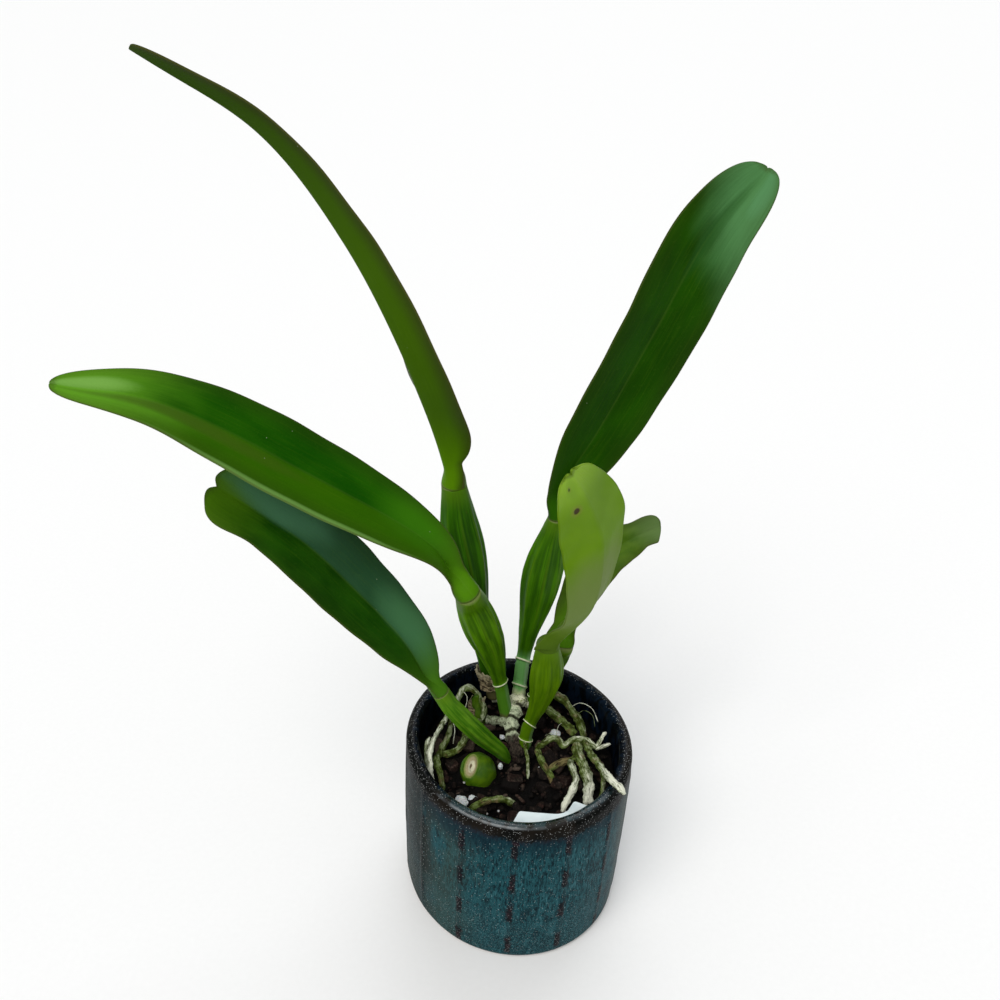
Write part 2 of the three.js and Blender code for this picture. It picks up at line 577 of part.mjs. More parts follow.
// a bark chip: a block whose eight corners are drawn in or out a little
function chip(random) {
  const between = ([low, high]) => low + (high - low) * random();
  const sizes = [CHIPS.length, CHIPS.breadth, CHIPS.thickness].map(between);
  const geometry = new THREE.BoxGeometry(...sizes);
  geometry.deleteAttribute('normal');
  geometry.deleteAttribute('uv');
  const block = mergeVertices(geometry);
  const place = block.attributes.position;
  for (let i = 0; i < place.count; i += 1) {
    const [f, g, h] = [0.6 + 0.4 * random(), 0.6 + 0.4 * random(), 0.75 + 0.25 * random()];
    place.setXYZ(i, place.getX(i) * f, place.getY(i) * g, place.getZ(i) * h);
  }
  block.rotateX(random() - 0.5);
  block.rotateY(random() - 0.5);
  block.rotateZ(random() * 2 * Math.PI);
  const [angle, reach] = [random() * 2 * Math.PI, CHIPS.reach * Math.sqrt(random())];
  return block.translate(reach * Math.cos(angle), reach * Math.sin(angle), MIX.level + 0.6 + 1.6 * random());
}

// the firm pieces that the roots press against, each with its clearance
function firmPieces() {
  return [
    rhizome(GAP),
    toManifold(stub(1.5 * GAP)).hull(),
    toManifold(smallBulb(GAP)),
    ...Object.values(PSEUDOBULBS).map((bulb) => toManifold(bulbGeometry(bulb, GAP))),
    ...BEADS.map((bead, index) => toManifold(beadGeometry(bead, index, GAP))),
  ];
}

const cutBy = (solid, tools) => tools.reduce((rest, tool) => rest.subtract(tool), solid);

function mixGeometry() {
  const random = randomFrom(CHIPS.seed);
  const chips = Array.from({ length: CHIPS.count }, () => toManifold(chip(random)));
  const heaped = chips.reduce((whole, one) => whole.add(one), mixBody());
  const roots = Object.values(ROOT_BUNCHES).map((one) => bunch(one, 1.3 * GAP));
  return toGeometry(cutBy(heaped, [...firmPieces(), ...roots, toManifold(labelGeometry(GAP))]));
}

// ---------------------------------------------------------------- the assembly
const orchid = new THREE.Group();
orchid.name = 'cattleya_orchid';

function add(name, geometry, colour, roughness) {
  const material = new THREE.MeshStandardMaterial({ color: colour, roughness, metalness: 0 });
  const mesh = new THREE.Mesh(geometry, material);
  mesh.name = name;
  orchid.add(mesh);
}

add('pot', potGeometry(), COLOURS.glaze, 0.3);
add('potting_mix', mixGeometry(), COLOURS.mix, 0.95);
add('rhizome', toGeometry(rhizome()), COLOURS.rhizome, 0.8);
for (const [name, bulb] of Object.entries(PSEUDOBULBS)) {
  const trimmed = toManifold(bulbGeometry(bulb)).subtract(rhizome(GAP));
  add(name, toGeometry(trimmed), COLOURS.bulb, 0.45);
}
for (const [name, leaf] of Object.entries(LEAVES)) {
  add(name, leafGeometry(leaf), COLOURS.leaf, 0.35);
}
add('old_bulb_cut', toGeometry(toManifold(stub())), COLOURS.oldBulb, 0.5);
add('old_bulb_small', toGeometry(toManifold(smallBulb()).subtract(rhizome(GAP))), COLOURS.oldBulb, 0.6);
const clasped = toManifold(bulbGeometry(PSEUDOBULBS.pseudobulb_1, GAP));
add('sheath_1', toGeometry(cutBy(toManifold(sheathGeometry()), [clasped, rhizome(GAP)])), COLOURS.papery, 0.9);
for (const [name, roots] of Object.entries(ROOT_BUNCHES)) {
  add(name, toGeometry(cutBy(bunch(roots), firmPieces())), COLOURS.root, 0.85);
}
BEADS.forEach((bead, index) => add(`perlite_${index + 1}`, beadGeometry(bead, index), COLOURS.bead, 0.95));
add('plant_label', labelGeometry(), COLOURS.label, 0.5);

export default orchid;
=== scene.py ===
import math

import bpy
import numpy as np
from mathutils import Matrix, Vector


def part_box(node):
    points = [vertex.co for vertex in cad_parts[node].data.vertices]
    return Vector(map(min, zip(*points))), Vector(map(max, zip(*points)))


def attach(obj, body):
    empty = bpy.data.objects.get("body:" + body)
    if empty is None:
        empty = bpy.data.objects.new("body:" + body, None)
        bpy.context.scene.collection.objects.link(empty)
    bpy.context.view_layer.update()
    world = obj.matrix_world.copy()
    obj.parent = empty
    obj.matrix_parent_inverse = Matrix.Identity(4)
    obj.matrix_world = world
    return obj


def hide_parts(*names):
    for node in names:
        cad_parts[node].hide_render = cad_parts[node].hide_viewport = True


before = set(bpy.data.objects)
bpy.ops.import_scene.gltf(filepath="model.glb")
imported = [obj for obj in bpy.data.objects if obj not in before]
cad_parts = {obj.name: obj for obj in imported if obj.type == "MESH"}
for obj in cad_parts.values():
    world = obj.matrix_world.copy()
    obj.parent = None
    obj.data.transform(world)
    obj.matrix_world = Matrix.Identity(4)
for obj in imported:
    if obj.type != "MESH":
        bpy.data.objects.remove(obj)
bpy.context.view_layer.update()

# ---------------------------------------------------------------------------------------------
# The pot: a straight stoneware cylinder, thrown with shallow upright ridges, glazed inside and
# out. The teal glaze runs in streaks, breaks to dark brown on each ridge and on the rim, and is
# full of fine pale specks. The flat foot that it stands on is left bare.

MM = 0.001


class Value:
    """A socket of a finish, in Python's own arithmetic: each operator adds a Math node."""

    def __init__(self, finish, socket):
        self.finish = finish
        self.socket = socket

    def other(self, output):
        """Another output of the node that made this value."""
        return Value(self.finish, self.socket.node.outputs[output])

    def step(self, start, end):
        """0 before start, 1 after end, and an S-curve between them."""
        sockets = {"Value": self, "From Min": start, "From Max": end}
        return self.finish.node("ShaderNodeMapRange", {"interpolation_type": "SMOOTHSTEP"}, sockets)

    def frayed(self, noise, width):
        """This value pushed up and down by noise, over that width in all."""
        return self + (noise - 0.5) * width

    def __add__(self, other):
        return self.finish.maths("ADD", self, other)

    def __sub__(self, other):
        return self.finish.maths("SUBTRACT", self, other)

    def __rsub__(self, other):
        return self.finish.maths("SUBTRACT", other, self)

    def __mul__(self, other):
        return self.finish.maths("MULTIPLY", self, other)

    def __pow__(self, other):
        return self.finish.maths("POWER", self, other)

    def __abs__(self):
        return self.finish.maths("ABSOLUTE", self)

    __radd__ = __add__
    __rmul__ = __mul__


class Finish:
    """A material that starts as one ground colour and has each coat laid over what is there. Its
    nodes are added by `node`, and by arithmetic on the values that `node` returns."""

    def __init__(self, name, ground, constants):
        self.material = bpy.data.materials.new(name)
        self.material.use_nodes = True
        self.tree = self.material.node_tree
        self.shader = self.tree.nodes["Principled BSDF"]
        for socket, value in constants.items():
            self.shader.inputs[socket].default_value = value
        self.colour = ground
        metres = self.node("ShaderNodeTexCoord", {}, {}, 3)
        self.point = self.stretched(metres, (1 / MM, 1 / MM, 1 / MM))

    def node(self, kind, settings, sockets, output=0):
        """Adds a node of that kind. Its settings come first, then its sockets' values or links."""
        node = self.tree.nodes.new(kind)
        for name, value in settings.items():
            setattr(node, name, value)
        for name, value in sockets.items():
            if isinstance(value, Value):
                self.tree.links.new(value.socket, node.inputs[name])
            elif node.inputs[name].type == "RGBA":
                node.inputs[name].default_value = (*value, 1)
            else:
                node.inputs[name].default_value = value
        return Value(self, node.outputs[output])

    def maths(self, operation, *operands):
        return self.node("ShaderNodeMath", {"operation": operation}, dict(enumerate(operands)))

    def mix(self, share, low, high):
        """Two colours mixed by a share of the second."""
        return self.node("ShaderNodeMix", {"data_type": "RGBA"}, {0: share, 6: low, 7: high}, 2)

    def coat(self, share, colour):
        """Lays a colour over what is there, by that share."""
        self.colour = self.mix(share, self.colour, colour)

    def stretched(self, vector, scales):
        return self.node("ShaderNodeVectorMath", {"operation": "MULTIPLY"}, {0: vector, 1: scales})

    def vector(self, x, y, z):
        return self.node("ShaderNodeCombineXYZ", {}, {0: x, 1: y, 2: z})

    def axes(self):
        """The point's x, y and z in millimetres."""
        x = self.node("ShaderNodeSeparateXYZ", {}, {0: self.point})
        return x, x.other(1), x.other(2)

    def carried(self, *names):
        """Numbers that the piece's mesh carries at each point."""
        return [self.node("ShaderNodeAttribute", {"attribute_name": name}, {}, 2) for name in names]

    def noise(self, cell, detail=2, roughness=0.5, distortion=0, scales=None, at=None):
        """Soft random grain whose patches are about one cell across, at the point or elsewhere,
        with the place multiplied by the scales."""
        place = at or self.point
        sockets = {"Vector": self.stretched(place, scales) if scales else place, "Scale": 1 / cell,
                   "Detail": detail, "Roughness": roughness, "Distortion": distortion}
        return self.node("ShaderNodeTexNoise", {}, sockets)

    def specks(self, cell, radius):
        """Round specks, one to a cell, that fade out at that share of the cell, and each one's luck."""
        spot = self.node("ShaderNodeTexVoronoi", {}, {"Vector": self.point, "Scale": 1 / cell})
        luck = self.node("ShaderNodeSeparateColor", {}, {0: spot.other(1)})
        return spot.step(radius, radius * 0.4), luck

    def feed(self, socket, value):
        self.tree.links.new(value.socket, self.shader.inputs[socket])

    def apply(self, roughness, height=None, depth=0.3):
        """Links the colour, the roughness and a bump of that depth in millimetres."""
        self.feed("Base Color", self.colour)
        self.feed("Roughness", roughness)
        if height:
            sockets = {"Height": height, "Distance": depth * MM, "Strength": 1.0}
            self.feed("Normal", self.node("ShaderNodeBump", {}, sockets))
        return self.material


def smooth(start, end, x):
    """0 before start, 1 after end, and an S-curve between them."""
    t = np.clip((x - start) / (end - start), 0, 1)
    return t * t * (3 - 2 * t)


def bell(x, width):
    """1 at 0, falling away on both sides by a bell curve of that width."""
    return np.exp(-((x / width) ** 2))


HASH_PRIMES = np.array((73856093, 19349663, 83492791))


def grain(points, cell, seed):
    """Smooth random heights from -1 to 1: each corner of a lattice has a hashed height, and a
    point blends the eight corners round it by S-curves."""
    lattice = np.asarray(points) / cell
    base = np.floor(lattice).astype(np.int64)
    blend = lattice - base
    blend = blend * blend * (3 - 2 * blend)
    total = np.zeros(lattice.shape[:-1])
    for corner in np.ndindex(2, 2, 2):
        mixed = np.bitwise_xor.reduce((base + corner) * HASH_PRIMES, axis=-1) ^ seed * 7919
        mixed = ((mixed ^ (mixed >> 13)) * 1274126177) & 0xFFFFFFFF
        height = ((mixed ^ (mixed >> 16)) & 0xFFFF) / 0x7FFF - 1
        total += height * np.prod(np.where(corner, blend, 1 - blend), axis=-1)
    return total


def shell(points, values=None, looped=False, zipped=False):
    """A closed skin over rings of points (rings, points a ring, 3), joined each to the next. The
    two end rings are closed on their middles, or joined to each other where it is looped. A flat
    ring is zipped instead, each point of its upper side to the one below it."""
    rings, count = points.shape[:2]
    index = np.arange(rings * count).reshape(rings, count)
    below = index if looped else index[:-1]
    above = np.roll(index, -1, axis=0) if looped else index[1:]
    quads = np.stack([below, np.roll(below, -1, 1), np.roll(above, -1, 1), above], -1).reshape(-1, 4)
    flat = points.reshape(-1, 3)
    numbers = {name: np.broadcast_to(value, (rings, count)).ravel()
               for name, value in (values or {}).items()}
    ends = ((index[0], -1), (index[-1], 1))
    caps = []
    if zipped:
        upper = np.arange(count // 2 - 2)
        lower = count - 2 - upper
        strip = np.stack([upper, upper + 1, lower - 1, lower], -1)
        corners = np.array([(count // 2 - 2, count // 2 - 1, count // 2), (count - 1, 0, count - 2)])
        for ring, way in ends:
            caps += [ring[strip[:, ::way]], np.column_stack([ring[corners[:, ::way]], (-1, -1)])]
    elif not looped:
        for middle, (ring, way) in enumerate(ends, rings * count):
            edge = np.stack([ring, np.roll(ring, -1)][::way], -1)
            caps.append(np.column_stack([np.full(count, middle), edge, np.full(count, -1)]))
        flat = np.vstack([flat, points[0].mean(0), points[-1].mean(0)])
        numbers = {name: np.r_[value, value[index[0]].mean(), value[index[-1]].mean()]
                   for name, value in numbers.items()}
    return {"points": flat, "faces": np.vstack([quads, *caps]), "values": numbers}


def piece(name, shells, material, nodes=()):
    """One object of closed skins in millimetres. It rides on the root and stands for the nodes."""
    starts = np.cumsum([0] + [len(one["points"]) for one in shells[:-1]])
    points = np.vstack([one["points"] for one in shells]) * MM
    faces = np.vstack([np.where(one["faces"] < 0, -1, one["faces"] + start)
                       for one, start in zip(shells, starts)])
    sizes = (faces >= 0).sum(1)
    mesh = bpy.data.meshes.new(name)
    mesh.vertices.add(len(points))
    mesh.vertices.foreach_set("co", points.ravel())
    mesh.loops.add(int(sizes.sum()))
    mesh.loops.foreach_set("vertex_index", faces[faces >= 0])
    mesh.polygons.add(len(faces))
    mesh.polygons.foreach_set("loop_start", np.r_[0, np.cumsum(sizes)[:-1]])
    mesh.polygons.foreach_set("loop_total", sizes)
    mesh.update(calc_edges=True)
    mesh.shade_smooth()
    for key in shells[0]["values"]:
        attribute = mesh.attributes.new(key, "FLOAT", "POINT")
        attribute.data.foreach_set("value", np.concatenate([one["values"][key] for one in shells]))
    made = bpy.data.objects.new(name, mesh)
    bpy.context.scene.collection.objects.link(made)
    made.data.materials.append(material)
    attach(made, "root")
    if nodes:
        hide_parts(*nodes)


def around(count):
    """Angles once round, as many as the count."""
    return np.linspace(0, 2 * np.pi, count, endpoint=False)


def rings(radius, turn, height):
    """Points round the Z axis: each row has a radius and a height, and goes through the turns."""
    return np.stack(np.broadcast_arrays(radius * np.cos(turn), radius * np.sin(turn), height), -1)


def arc(middle, radius, start, end, count):
    """Points (radius, height) on an arc about a middle point, from one angle to another."""
    turn = np.radians(np.linspace(start, end, count))
    return np.column_stack([middle[0] + radius * np.cos(turn), middle[1] + radius * np.sin(turn)])


POT_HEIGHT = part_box("pot")[1][2] / MM
POT_RADIUS = 62.5
POT_WALL = 7.0
POT_FLOOR = 8.0
POT_BELLY = 0.7
POT_SIDES = 504
FOOT_RADIUS = 3.0
LIP_RADIUS = POT_WALL / 2
RIDGES = 14
RIDGE_AT = -96.4  # degrees round the pot of the ridge at the front
RIDGE_HEIGHT = 0.45
RIDGE_WIDTH = 1.7
RIM_DIP = 2.3
RIM_DIP_AT = -105  # degrees round the pot of the lowest part of the rim


def pot_shell():
    """The wall's profile turned about the pot's axis. Each ridge is a bell curve round the pot,
    and soft grain leaves the wall a little uneven, as throwing does. So is the rim, which dips by
    a squared cosine of the turn."""
    lip_at = POT_HEIGHT - LIP_RADIUS
    inside = POT_RADIUS - POT_WALL
    up_wall = np.linspace(FOOT_RADIUS, lip_at, 60)
    profile = np.vstack([
        np.linspace((4, 0), (POT_RADIUS - FOOT_RADIUS - 1, 0), 8),
        arc((POT_RADIUS - FOOT_RADIUS, FOOT_RADIUS), FOOT_RADIUS, -90, -10, 7),
        np.column_stack([POT_RADIUS + POT_BELLY * np.sin(np.pi * up_wall / POT_HEIGHT), up_wall]),
        arc((POT_RADIUS - LIP_RADIUS, lip_at), LIP_RADIUS, 12, 168, 14),
        np.linspace((inside, lip_at), (inside, POT_FLOOR + FOOT_RADIUS), 12),
        arc((inside - FOOT_RADIUS, POT_FLOOR + FOOT_RADIUS), FOOT_RADIUS, -10, -90, 6),
        np.linspace((inside - FOOT_RADIUS - 1, POT_FLOOR), (4, POT_FLOOR), 5),
    ])
    turn = around(POT_SIDES)
    radius, height = profile[:, :1], profile[:, 1:]
    off_ridge = (turn - math.radians(RIDGE_AT)) * RIDGES / (2 * np.pi)
    off_ridge = (off_ridge - np.round(off_ridge)) * 2 * np.pi * POT_RADIUS / RIDGES
    outside = (radius > POT_RADIUS - 1.5) * smooth(0.5, 8, height)
    outside = outside * (1 - smooth(lip_at - 8, lip_at, height))
    ridge = RIDGE_HEIGHT * bell(off_ridge, RIDGE_WIDTH)
    points = rings(radius, turn, height)
    bumps = 0.22 * grain(points, 17, 3) + 0.1 * grain(points, 6, 4)
    radius = radius + outside * ridge + smooth(0.2, 3, height) * bumps * (radius > inside - 1)
    dip = np.maximum(0, np.cos(turn - math.radians(RIM_DIP_AT))) ** 2 * smooth(70, POT_HEIGHT, height)
    return shell(rings(radius, turn, height - RIM_DIP * dip))


def glaze():
    """Teal glaze over dark clay: strokes are grain drawn out down the wall, which gives way to fine
    curds low down and to painted shade on the two flanks that turn from the camera, with a painted
    grey sheen on the right one. It breaks to near-black dashes on the ridges, and to black and navy
    on the rim and inside, with a painted highlight on the front of the lip. Specks are single cells
    of a scatter."""
    navy, teal, pale = (0.001, 0.012, 0.018), (0.011, 0.068, 0.082), (0.05, 0.168, 0.195)
    finish = Finish("pot_glaze", navy, {"Specular IOR Level": 0.02, "Coat Roughness": 0.18})
    x, y, z = finish.axes()
    turn = finish.maths("ARCTAN2", y, x)
    reach = finish.maths("SQRT", x * x + y * y)
    strokes = finish.noise(0.9, 4, 0.7, 0.5, (1, 1, 0.2))
    runs = finish.noise(5, 3, 0.6, 0.6, (1, 1, 0.3))
    clouds = finish.noise(16, scales=(1, 1, 0.5))
    curds = finish.noise(0.85, 3, 0.75)
    grit = finish.noise(0.6, 2, 0.8)
    ragged = finish.noise(1.5, 3, 0.7)

    # the front wall, and its darker top
    low = (z + clouds * 30).step(68, 36)
    tone = strokes + (curds - strokes) * low * 0.85 + (runs - 0.5) * 0.35
    finish.coat(tone.step(0.4, 0.54), teal)
    light = tone.step(0.52, 0.7) * (clouds + low * 0.06 + x * 0.004).step(0.37, 0.6)
    finish.coat(light * 0.85, pale)
    finish.coat(curds.step(0.5, 0.7) * low * 0.35, (0.05, 0.1, 0.1))
    sandy = 0.35 + low * 0.5
    finish.coat(grit.step(0.54, 0.66) * sandy, (0.08, 0.19, 0.205))
    finish.coat(grit.step(0.46, 0.34) * sandy, navy)
    olive = x.step(-12, -46) * (clouds + low * 0.1).step(0.4, 0.6)
    finish.coat(olive * 0.5, finish.mix(grit, (0.005, 0.02, 0.012), (0.07, 0.1, 0.08)))
    shade = (z + clouds * 18).step(POT_HEIGHT - 22, POT_HEIGHT - 2)
    finish.coat(shade * 0.8, (0.003, 0.016, 0.026))

    # the two flanks that turn from the camera, darkened as painted shade, with a painted grey sheen on the
    # right one
    flank_shade = (abs(x - 2) + (clouds - 0.5) * 14).step(47, 56) * (1 - low * 0.35)
    clay = curds.frayed(grit, 0.6).step(0.35, 0.65)
    flank_shade_tone = finish.mix(clay, (0.0025, 0.003, 0.003), (0.016, 0.02, 0.017))
    # painted sheen: the right flank turned a lighter grey
    flank_shade_tone = finish.mix(x.step(-20, 20) * 0.6, flank_shade_tone, (0.07, 0.1, 0.092))
    finish.coat(flank_shade * 0.85, flank_shade_tone)

    # the dashes on the ridges
    ridge = turn * (RIDGES / (2 * math.pi)) - (RIDGE_AT / 360 * RIDGES)
    off_ridge = finish.maths("PINGPONG", ridge + 1000, 0.5) * (2 * math.pi * POT_RADIUS / RIDGES)
    off_ridge = abs(off_ridge + (ragged - 0.5) * 4.5)
    number = finish.maths("ROUND", ridge)
    beat = (z - 13) * (2 * math.pi / 26.5) + number * number * 0.72 - number * 0.47
    dashed = finish.maths("COSINE", beat) + (finish.noise(3.2, 3, 0.7) - 0.5) * 3
    line = off_ridge.step(2.3, 1.1) * (0.2 + dashed.step(-0.45, 0.3) * 0.8) * (1 - flank_shade * 0.7)
    finish.coat(line * 0.95, finish.mix(finish.noise(2, 3).step(0.45, 0.68),
                                        (0.004, 0.005, 0.007), (0.024, 0.011, 0.015)))

    # the rim, the inside, and the front of the lip: a wetter coat there, a paler slope that is partly
    # painted reflection, and a painted highlight along its crest
    edge = z + (ragged - 0.5) * 9 + (runs - 0.5) * 5 + x * 0.03
    band = edge.step(POT_HEIGHT - 11.5, POT_HEIGHT - 8.5)
    rusty = edge.step(POT_HEIGHT - 14, POT_HEIGHT - 11) * clouds.step(0.4, 0.6)
    finish.coat(rusty * 0.5, (0.018, 0.013, 0.02))
    finish.coat(band, finish.mix(clouds.step(0.48, 0.66), (0.003, 0.0035, 0.003), (0.01, 0.008, 0.006)))
    inside = reach.step(POT_RADIUS - LIP_RADIUS + 0.8, POT_RADIUS - LIP_RADIUS - 1)
    finish.coat(inside, finish.mix(runs.step(0.45, 0.62), (0.0012, 0.0018, 0.003), (0.004, 0.01, 0.021)))
    front = y.step(-34, -50) * z.step(POT_HEIGHT - 6.5, POT_HEIGHT - 4)
    # the front of the inner slope a paler teal: the glaze there, paled further as painted reflection
    slope = reach.step(POT_RADIUS - 1.5, POT_RADIUS - 2.6) * front
    finish.coat(slope * runs.step(0.4, 0.55) * 0.8, (0.02, 0.045, 0.055))
    # painted highlight: a pale blue-grey line along the crest of the front lip
    crest = abs(reach - (POT_RADIUS - 1.7)).step(1.0, 0.3) * front * (x + clouds * 30).step(45, 5)
    finish.coat(crest * runs.step(0.3, 0.6) * 0.85, (0.11, 0.13, 0.14))

    # the specks, and the bare clay of the foot
    fine, luck = finish.specks(0.8, 0.32)
    busy = 0.14 + line * 0.4 + band * 0.42 + flank_shade * 0.12 + low * 0.08 - crest * 0.4
    busy = busy * reach.step(POT_RADIUS - 6.8, POT_RADIUS - 4.5)
    shows = fine * luck.step(1 - busy, 1.08 - busy)
    finish.coat(shows * 0.8, finish.mix(grit, (0.26, 0.28, 0.28), (0.56, 0.58, 0.56)))
    dots, luck = finish.specks(2.1, 0.17)
    finish.coat(dots * luck.step(0.66, 0.72) * (1 - band) * (1 - inside) * 0.7, (0.34, 0.5, 0.52))
    bare = z.step(1.1, 0.5) * (1 - inside)
    finish.coat(bare, (0.21, 0.15, 0.105))
    wet = reach.step(POT_RADIUS - 0.4, POT_RADIUS - 2.4) * (0.2 + front * 0.8) * (1 - bare)
    finish.feed("Coat Weight", wet)
    roughness = 0.3 + curds * 0.2 + shows * 0.2 + bare * 0.4
    return finish.apply(roughness, tone * 0.5 + curds * 0.3 + shows * 0.3 + line * 0.5, 0.25)


piece("glazed_pot", [pot_shell()], glaze(), ["pot"])

# ---------------------------------------------------------------------------------------------
# The potting mix: pine bark in broken chips over a bed of finer bark. The large chips lie where
# the solid has them, each drawn from the same row of random numbers. Smaller ones fill between.

MIX_LEVEL = 84.0
MIX_RELIEF = 1.1
GAP = 0.3
CHIP_COUNT = 46
CHIP_SIZES = ((8, 14), (6, 9), (4, 6.5))
BED_SIDES, BED_ROWS = 180, 70
CHIP_REACH = 48.0
CHIP_SEED = 41
# the eight corners of a block, in the order in which they are drawn in
CHIP_CORNERS = ((1, 1, 1), (1, 1, 0), (1, 0, 1), (1, 0, 0), (0, 1, 0), (0, 1, 1), (0, 0, 0), (0, 0, 1))
BLOCK = np.moveaxis(np.indices((2, 2, 2)), 0, -1) - 0.5  # the corners of a block of length 1


def mix_height(x, y):
    """The bed's height: two crossing waves."""
    return (MIX_LEVEL + MIX_RELIEF * np.sin(0.17 * x + 1) * np.cos(0.21 * y)
            + MIX_RELIEF * np.sin(0.4 * x - 0.33 * y))


def bed_shell():
    """A disc of rings whose top has the bed's height and fine grain, closed by a plain underside."""
    outer = POT_RADIUS - POT_WALL - GAP
    turn = around(BED_SIDES)
    radius = np.r_[4, 30, outer, np.linspace(outer, 0.6, BED_ROWS)][:, None]
    spot = rings(radius, turn, 0.0)
    top = mix_height(spot[..., 0], spot[..., 1]) + 0.9 * grain(spot, 4, 11) + 0.6 * grain(spot, 1.9, 12)
    z = np.where(np.arange(len(radius))[:, None] < 3, POT_FLOOR + GAP, top)
    return shell(rings(radius, turn, z), {"tint": 0.1, "lift": 0.0, "edge": 0.0})


def squared_off(x, power):
    """The sign of x times a power of its size, which squares a sine or cosine off."""
    return np.sign(x) * np.abs(x) ** power


def chip_points(corners, rows, columns, wear, seed):
    """Chips (chip, ring, point, 3): a rounded block in lengths of -1 to 1, which each chip's
    eight corners stretch, with splintered grain on it."""
    lift = np.radians(np.linspace(-82, 82, rows))[:, None]
    turn = around(columns)
    ring = np.abs(np.cos(lift)) ** wear
    east, north = squared_off(np.cos(turn), wear), squared_off(np.sin(turn), wear)
    top = squared_off(np.sin(lift), wear)
    unit = np.stack(np.broadcast_arrays(ring * east, ring * north, top), -1)
    edge = smooth(0.72, 0.98, np.sort(np.abs(unit), axis=-1)[..., 1])
    points = 0
    for x, y, z in np.ndindex(2, 2, 2):
        share = np.prod((1 + unit * (2 * np.array((x, y, z)) - 1)) / 2, axis=-1)
        points = points + share[None, ..., None] * corners[:, x, y, z][:, None, None]
    middle = corners.mean((1, 2, 3))[:, None, None]
    away = points - middle
    place = away + middle * 7.3
    push = 0.16 * grain(place, 2.6, seed) + 0.07 * grain(place, 1.1, seed + 1)
    return points + away * push[..., None], edge


def turned(corners, tips, spins):
    """Blocks turned about X and Y by their tips, then about Z by their spins."""
    for axis, angle in ((0, tips[:, 0]), (1, tips[:, 1]), (2, spins)):
        a, b = (axis + 1) % 3, (axis + 2) % 3
        cos, sin = (f(angle)[:, None, None, None] for f in (np.cos, np.sin))
        first, second = corners[..., a], corners[..., b]
        corners = corners.copy()
        corners[..., a], corners[..., b] = first * cos - second * sin, first * sin + second * cos
    return corners


def large_chips():
    """The corners (chip, 2, 2, 2, 3) of the chips that the solid has, from the same generator."""
    state = CHIP_SEED
    chips, tips, spins, places = [], [], [], []

    def draw():
        nonlocal state
        state = (state * 1664525 + 1013904223) % 2**32
        return state / 2**32

    for _ in range(CHIP_COUNT):
        size = [low + (high - low) * draw() for low, high in CHIP_SIZES]
        block = np.zeros((2, 2, 2, 3))
        for corner in CHIP_CORNERS:
            pulled = (0.6 + 0.4 * draw(), 0.6 + 0.4 * draw(), 0.75 + 0.25 * draw())
            block[corner] = (np.array(corner) - 0.5) * size * pulled
        chips.append(block)
        tips.append((draw() - 0.5, draw() - 0.5))
        spins.append(draw() * 2 * math.pi)
        angle, reach = draw() * 2 * math.pi, CHIP_REACH * math.sqrt(draw())
        places.append((reach * math.cos(angle), reach * math.sin(angle), MIX_LEVEL + 0.6 + 1.6 * draw()))
    blocks = turned(np.array(chips), np.array(tips), np.array(spins))
    return blocks + np.array(places)[:, None, None, None]


def small_chips(count, sizes, sunk, seed):
    """Corners of smaller chips scattered evenly over the bed, each lying on it nearly flat. None
    is under the label or the cut pseudobulb."""
    random = np.random.default_rng(seed)
    size = random.uniform(*np.array(sizes).T, (count, 3))
    blocks = BLOCK * size[:, None, None, None] * random.uniform(0.55, 1, (count, 2, 2, 2, 3))
    blocks = turned(blocks, random.normal(0, 0.35, (count, 2)), random.uniform(0, 2 * np.pi, count))
    reach = (POT_RADIUS - POT_WALL - 4) * np.sqrt(random.uniform(0, 1, count))
    angle = random.uniform(0, 2 * np.pi, count)
    x, y = reach * np.cos(angle), reach * np.sin(angle)
    z = mix_height(x, y) + size[:, 2] * sunk
    under_label = (x > -10) & (x < 28) & (y < -35)
    clear = ~under_label & (np.hypot(x + 22, y + 8) > 10.5)
    return (blocks + np.stack([x, y, z], -1)[:, None, None, None])[clear]


def propping_chip():
    """The corners of the one chip that holds up the highest grain of perlite."""
    block = turned(BLOCK[None] * (9, 7, 4.6), np.array([[0.2, -0.15]]), np.array([0.6]))
    return block + np.array((-33.5, -32.5, 86.6))


def chip_shells(corners, rows, columns, wear, seed):
    """Each chip's skin, its tint drawn at random. Chips under the label or the cut pseudobulb are
    pressed down to a common level."""
    random = np.random.default_rng(seed)
    tints = random.beta(1.6, 2.2, len(corners))
    chips, edge = chip_points(corners, rows, columns, wear, seed)
    x, y = chips[..., 0], chips[..., 1]
    covered = ((np.hypot(x + 23, y + 8) < 11) | (x > -11) & (x < 29) & (y < -36)) * 1.0
    chips[..., 2] -= covered * np.maximum(0, chips[..., 2] - (MIX_LEVEL + 2))
    lifts = chips[..., 2] - mix_height(x, y)
    return [shell(points, {"tint": tint, "lift": lift, "edge": edge})
            for points, tint, lift in zip(chips, tints, lifts)]


